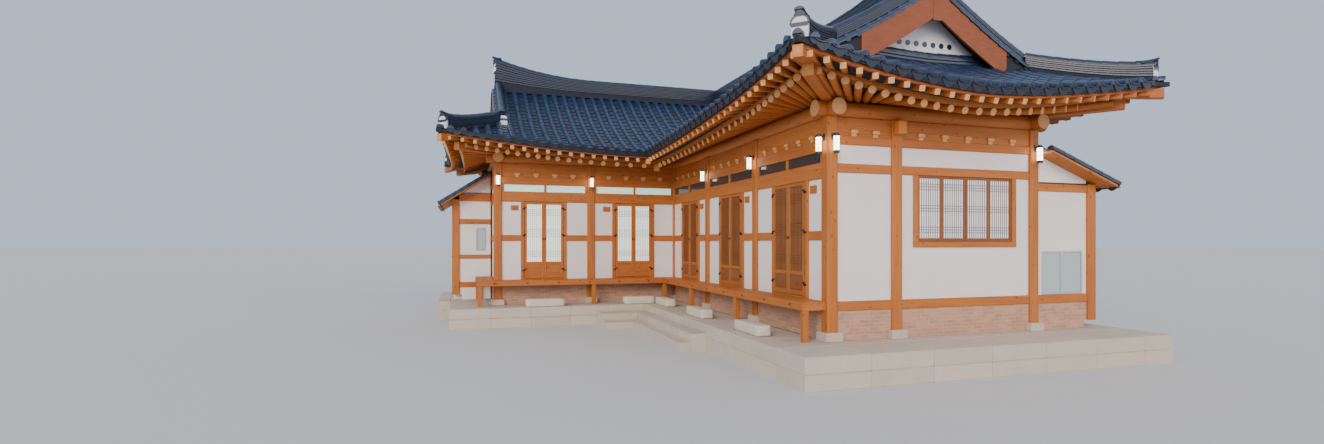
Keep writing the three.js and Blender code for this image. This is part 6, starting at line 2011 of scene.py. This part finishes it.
class HANOK_OT_tiles(bpy.types.Operator):
    """Cover the roof with its bed, pan tiles, cover tiles and eave tiles"""

    bl_idname = "hanok.tiles"
    bl_label = "Roof tiles"

    def execute(self, context):
        make_tiles()
        return {"FINISHED"}


class HANOK_OT_ridges(bpy.types.Operator):
    """Stack the ridges, cap them and close their ends"""

    bl_idname = "hanok.ridges"
    bl_label = "Ridges"

    def execute(self, context):
        make_ridges()
        return {"FINISHED"}


class HANOK_OT_gables(bpy.types.Operator):
    """Finish the gable walls and their bargeboards"""

    bl_idname = "hanok.gables"
    bl_label = "Gables"

    def execute(self, context):
        make_gables()
        return {"FINISHED"}


class HANOK_OT_lean_tos(bpy.types.Operator):
    """Build the frames and tiled roofs of both lean-tos"""

    bl_idname = "hanok.lean_tos"
    bl_label = "Lean-tos"

    def execute(self, context):
        make_lean_tos()
        return {"FINISHED"}


class HANOK_OT_lamps(bpy.types.Operator):
    """Hang the lamps on their posts"""

    bl_idname = "hanok.lamps"
    bl_label = "Lamps"

    def execute(self, context):
        make_lamps()
        return {"FINISHED"}


class HANOK_OT_stage(bpy.types.Operator):
    """Set the ground, the lights and the camera"""

    bl_idname = "hanok.stage"
    bl_label = "Stage"

    def execute(self, context):
        make_stage()
        return {"FINISHED"}


OPERATORS = (
    HANOK_OT_stonework,
    HANOK_OT_deck,
    HANOK_OT_frames,
    HANOK_OT_walls,
    HANOK_OT_doors,
    HANOK_OT_windows,
    HANOK_OT_rafters,
    HANOK_OT_tiles,
    HANOK_OT_ridges,
    HANOK_OT_gables,
    HANOK_OT_lean_tos,
    HANOK_OT_lamps,
    HANOK_OT_stage,
)


class HANOK_PT_panel(bpy.types.Panel):
    """Sizes, colours and building steps of the hanok"""

    bl_idname = "HANOK_PT_panel"
    bl_label = "Hanok House"
    bl_space_type = "VIEW_3D"
    bl_region_type = "UI"
    bl_category = "Hanok"

    def draw(self, context):
        layout = self.layout
        for settings in (context.scene.hanok_sizes, context.scene.hanok_colours):
            box = layout.box()
            for name in settings.bl_rna.properties.keys():
                if name not in ("rna_type", "name"):
                    box.prop(settings, name)
        for operator in OPERATORS:
            layout.operator(operator.bl_idname)


CLASSES = (HANOK_PG_sizes, HANOK_PG_colours, *OPERATORS, HANOK_PT_panel)


def register():
    for one in CLASSES:
        bpy.utils.register_class(one)
    bpy.types.Scene.hanok_sizes = bpy.props.PointerProperty(type=HANOK_PG_sizes)
    bpy.types.Scene.hanok_colours = bpy.props.PointerProperty(type=HANOK_PG_colours)


def unregister():
    del bpy.types.Scene.hanok_colours
    del bpy.types.Scene.hanok_sizes
    for one in reversed(CLASSES):
        bpy.utils.unregister_class(one)


def main():
    register()
    bpy.ops.hanok.stonework()
    bpy.ops.hanok.deck()
    bpy.ops.hanok.frames()
    bpy.ops.hanok.walls()
    bpy.ops.hanok.doors()
    bpy.ops.hanok.windows()
    bpy.ops.hanok.rafters()
    bpy.ops.hanok.tiles()
    bpy.ops.hanok.ridges()
    bpy.ops.hanok.gables()
    bpy.ops.hanok.lean_tos()
    bpy.ops.hanok.lamps()
    bpy.ops.hanok.stage()
    bpy.context.view_layer.update()


if __name__ == "__main__":
    main()
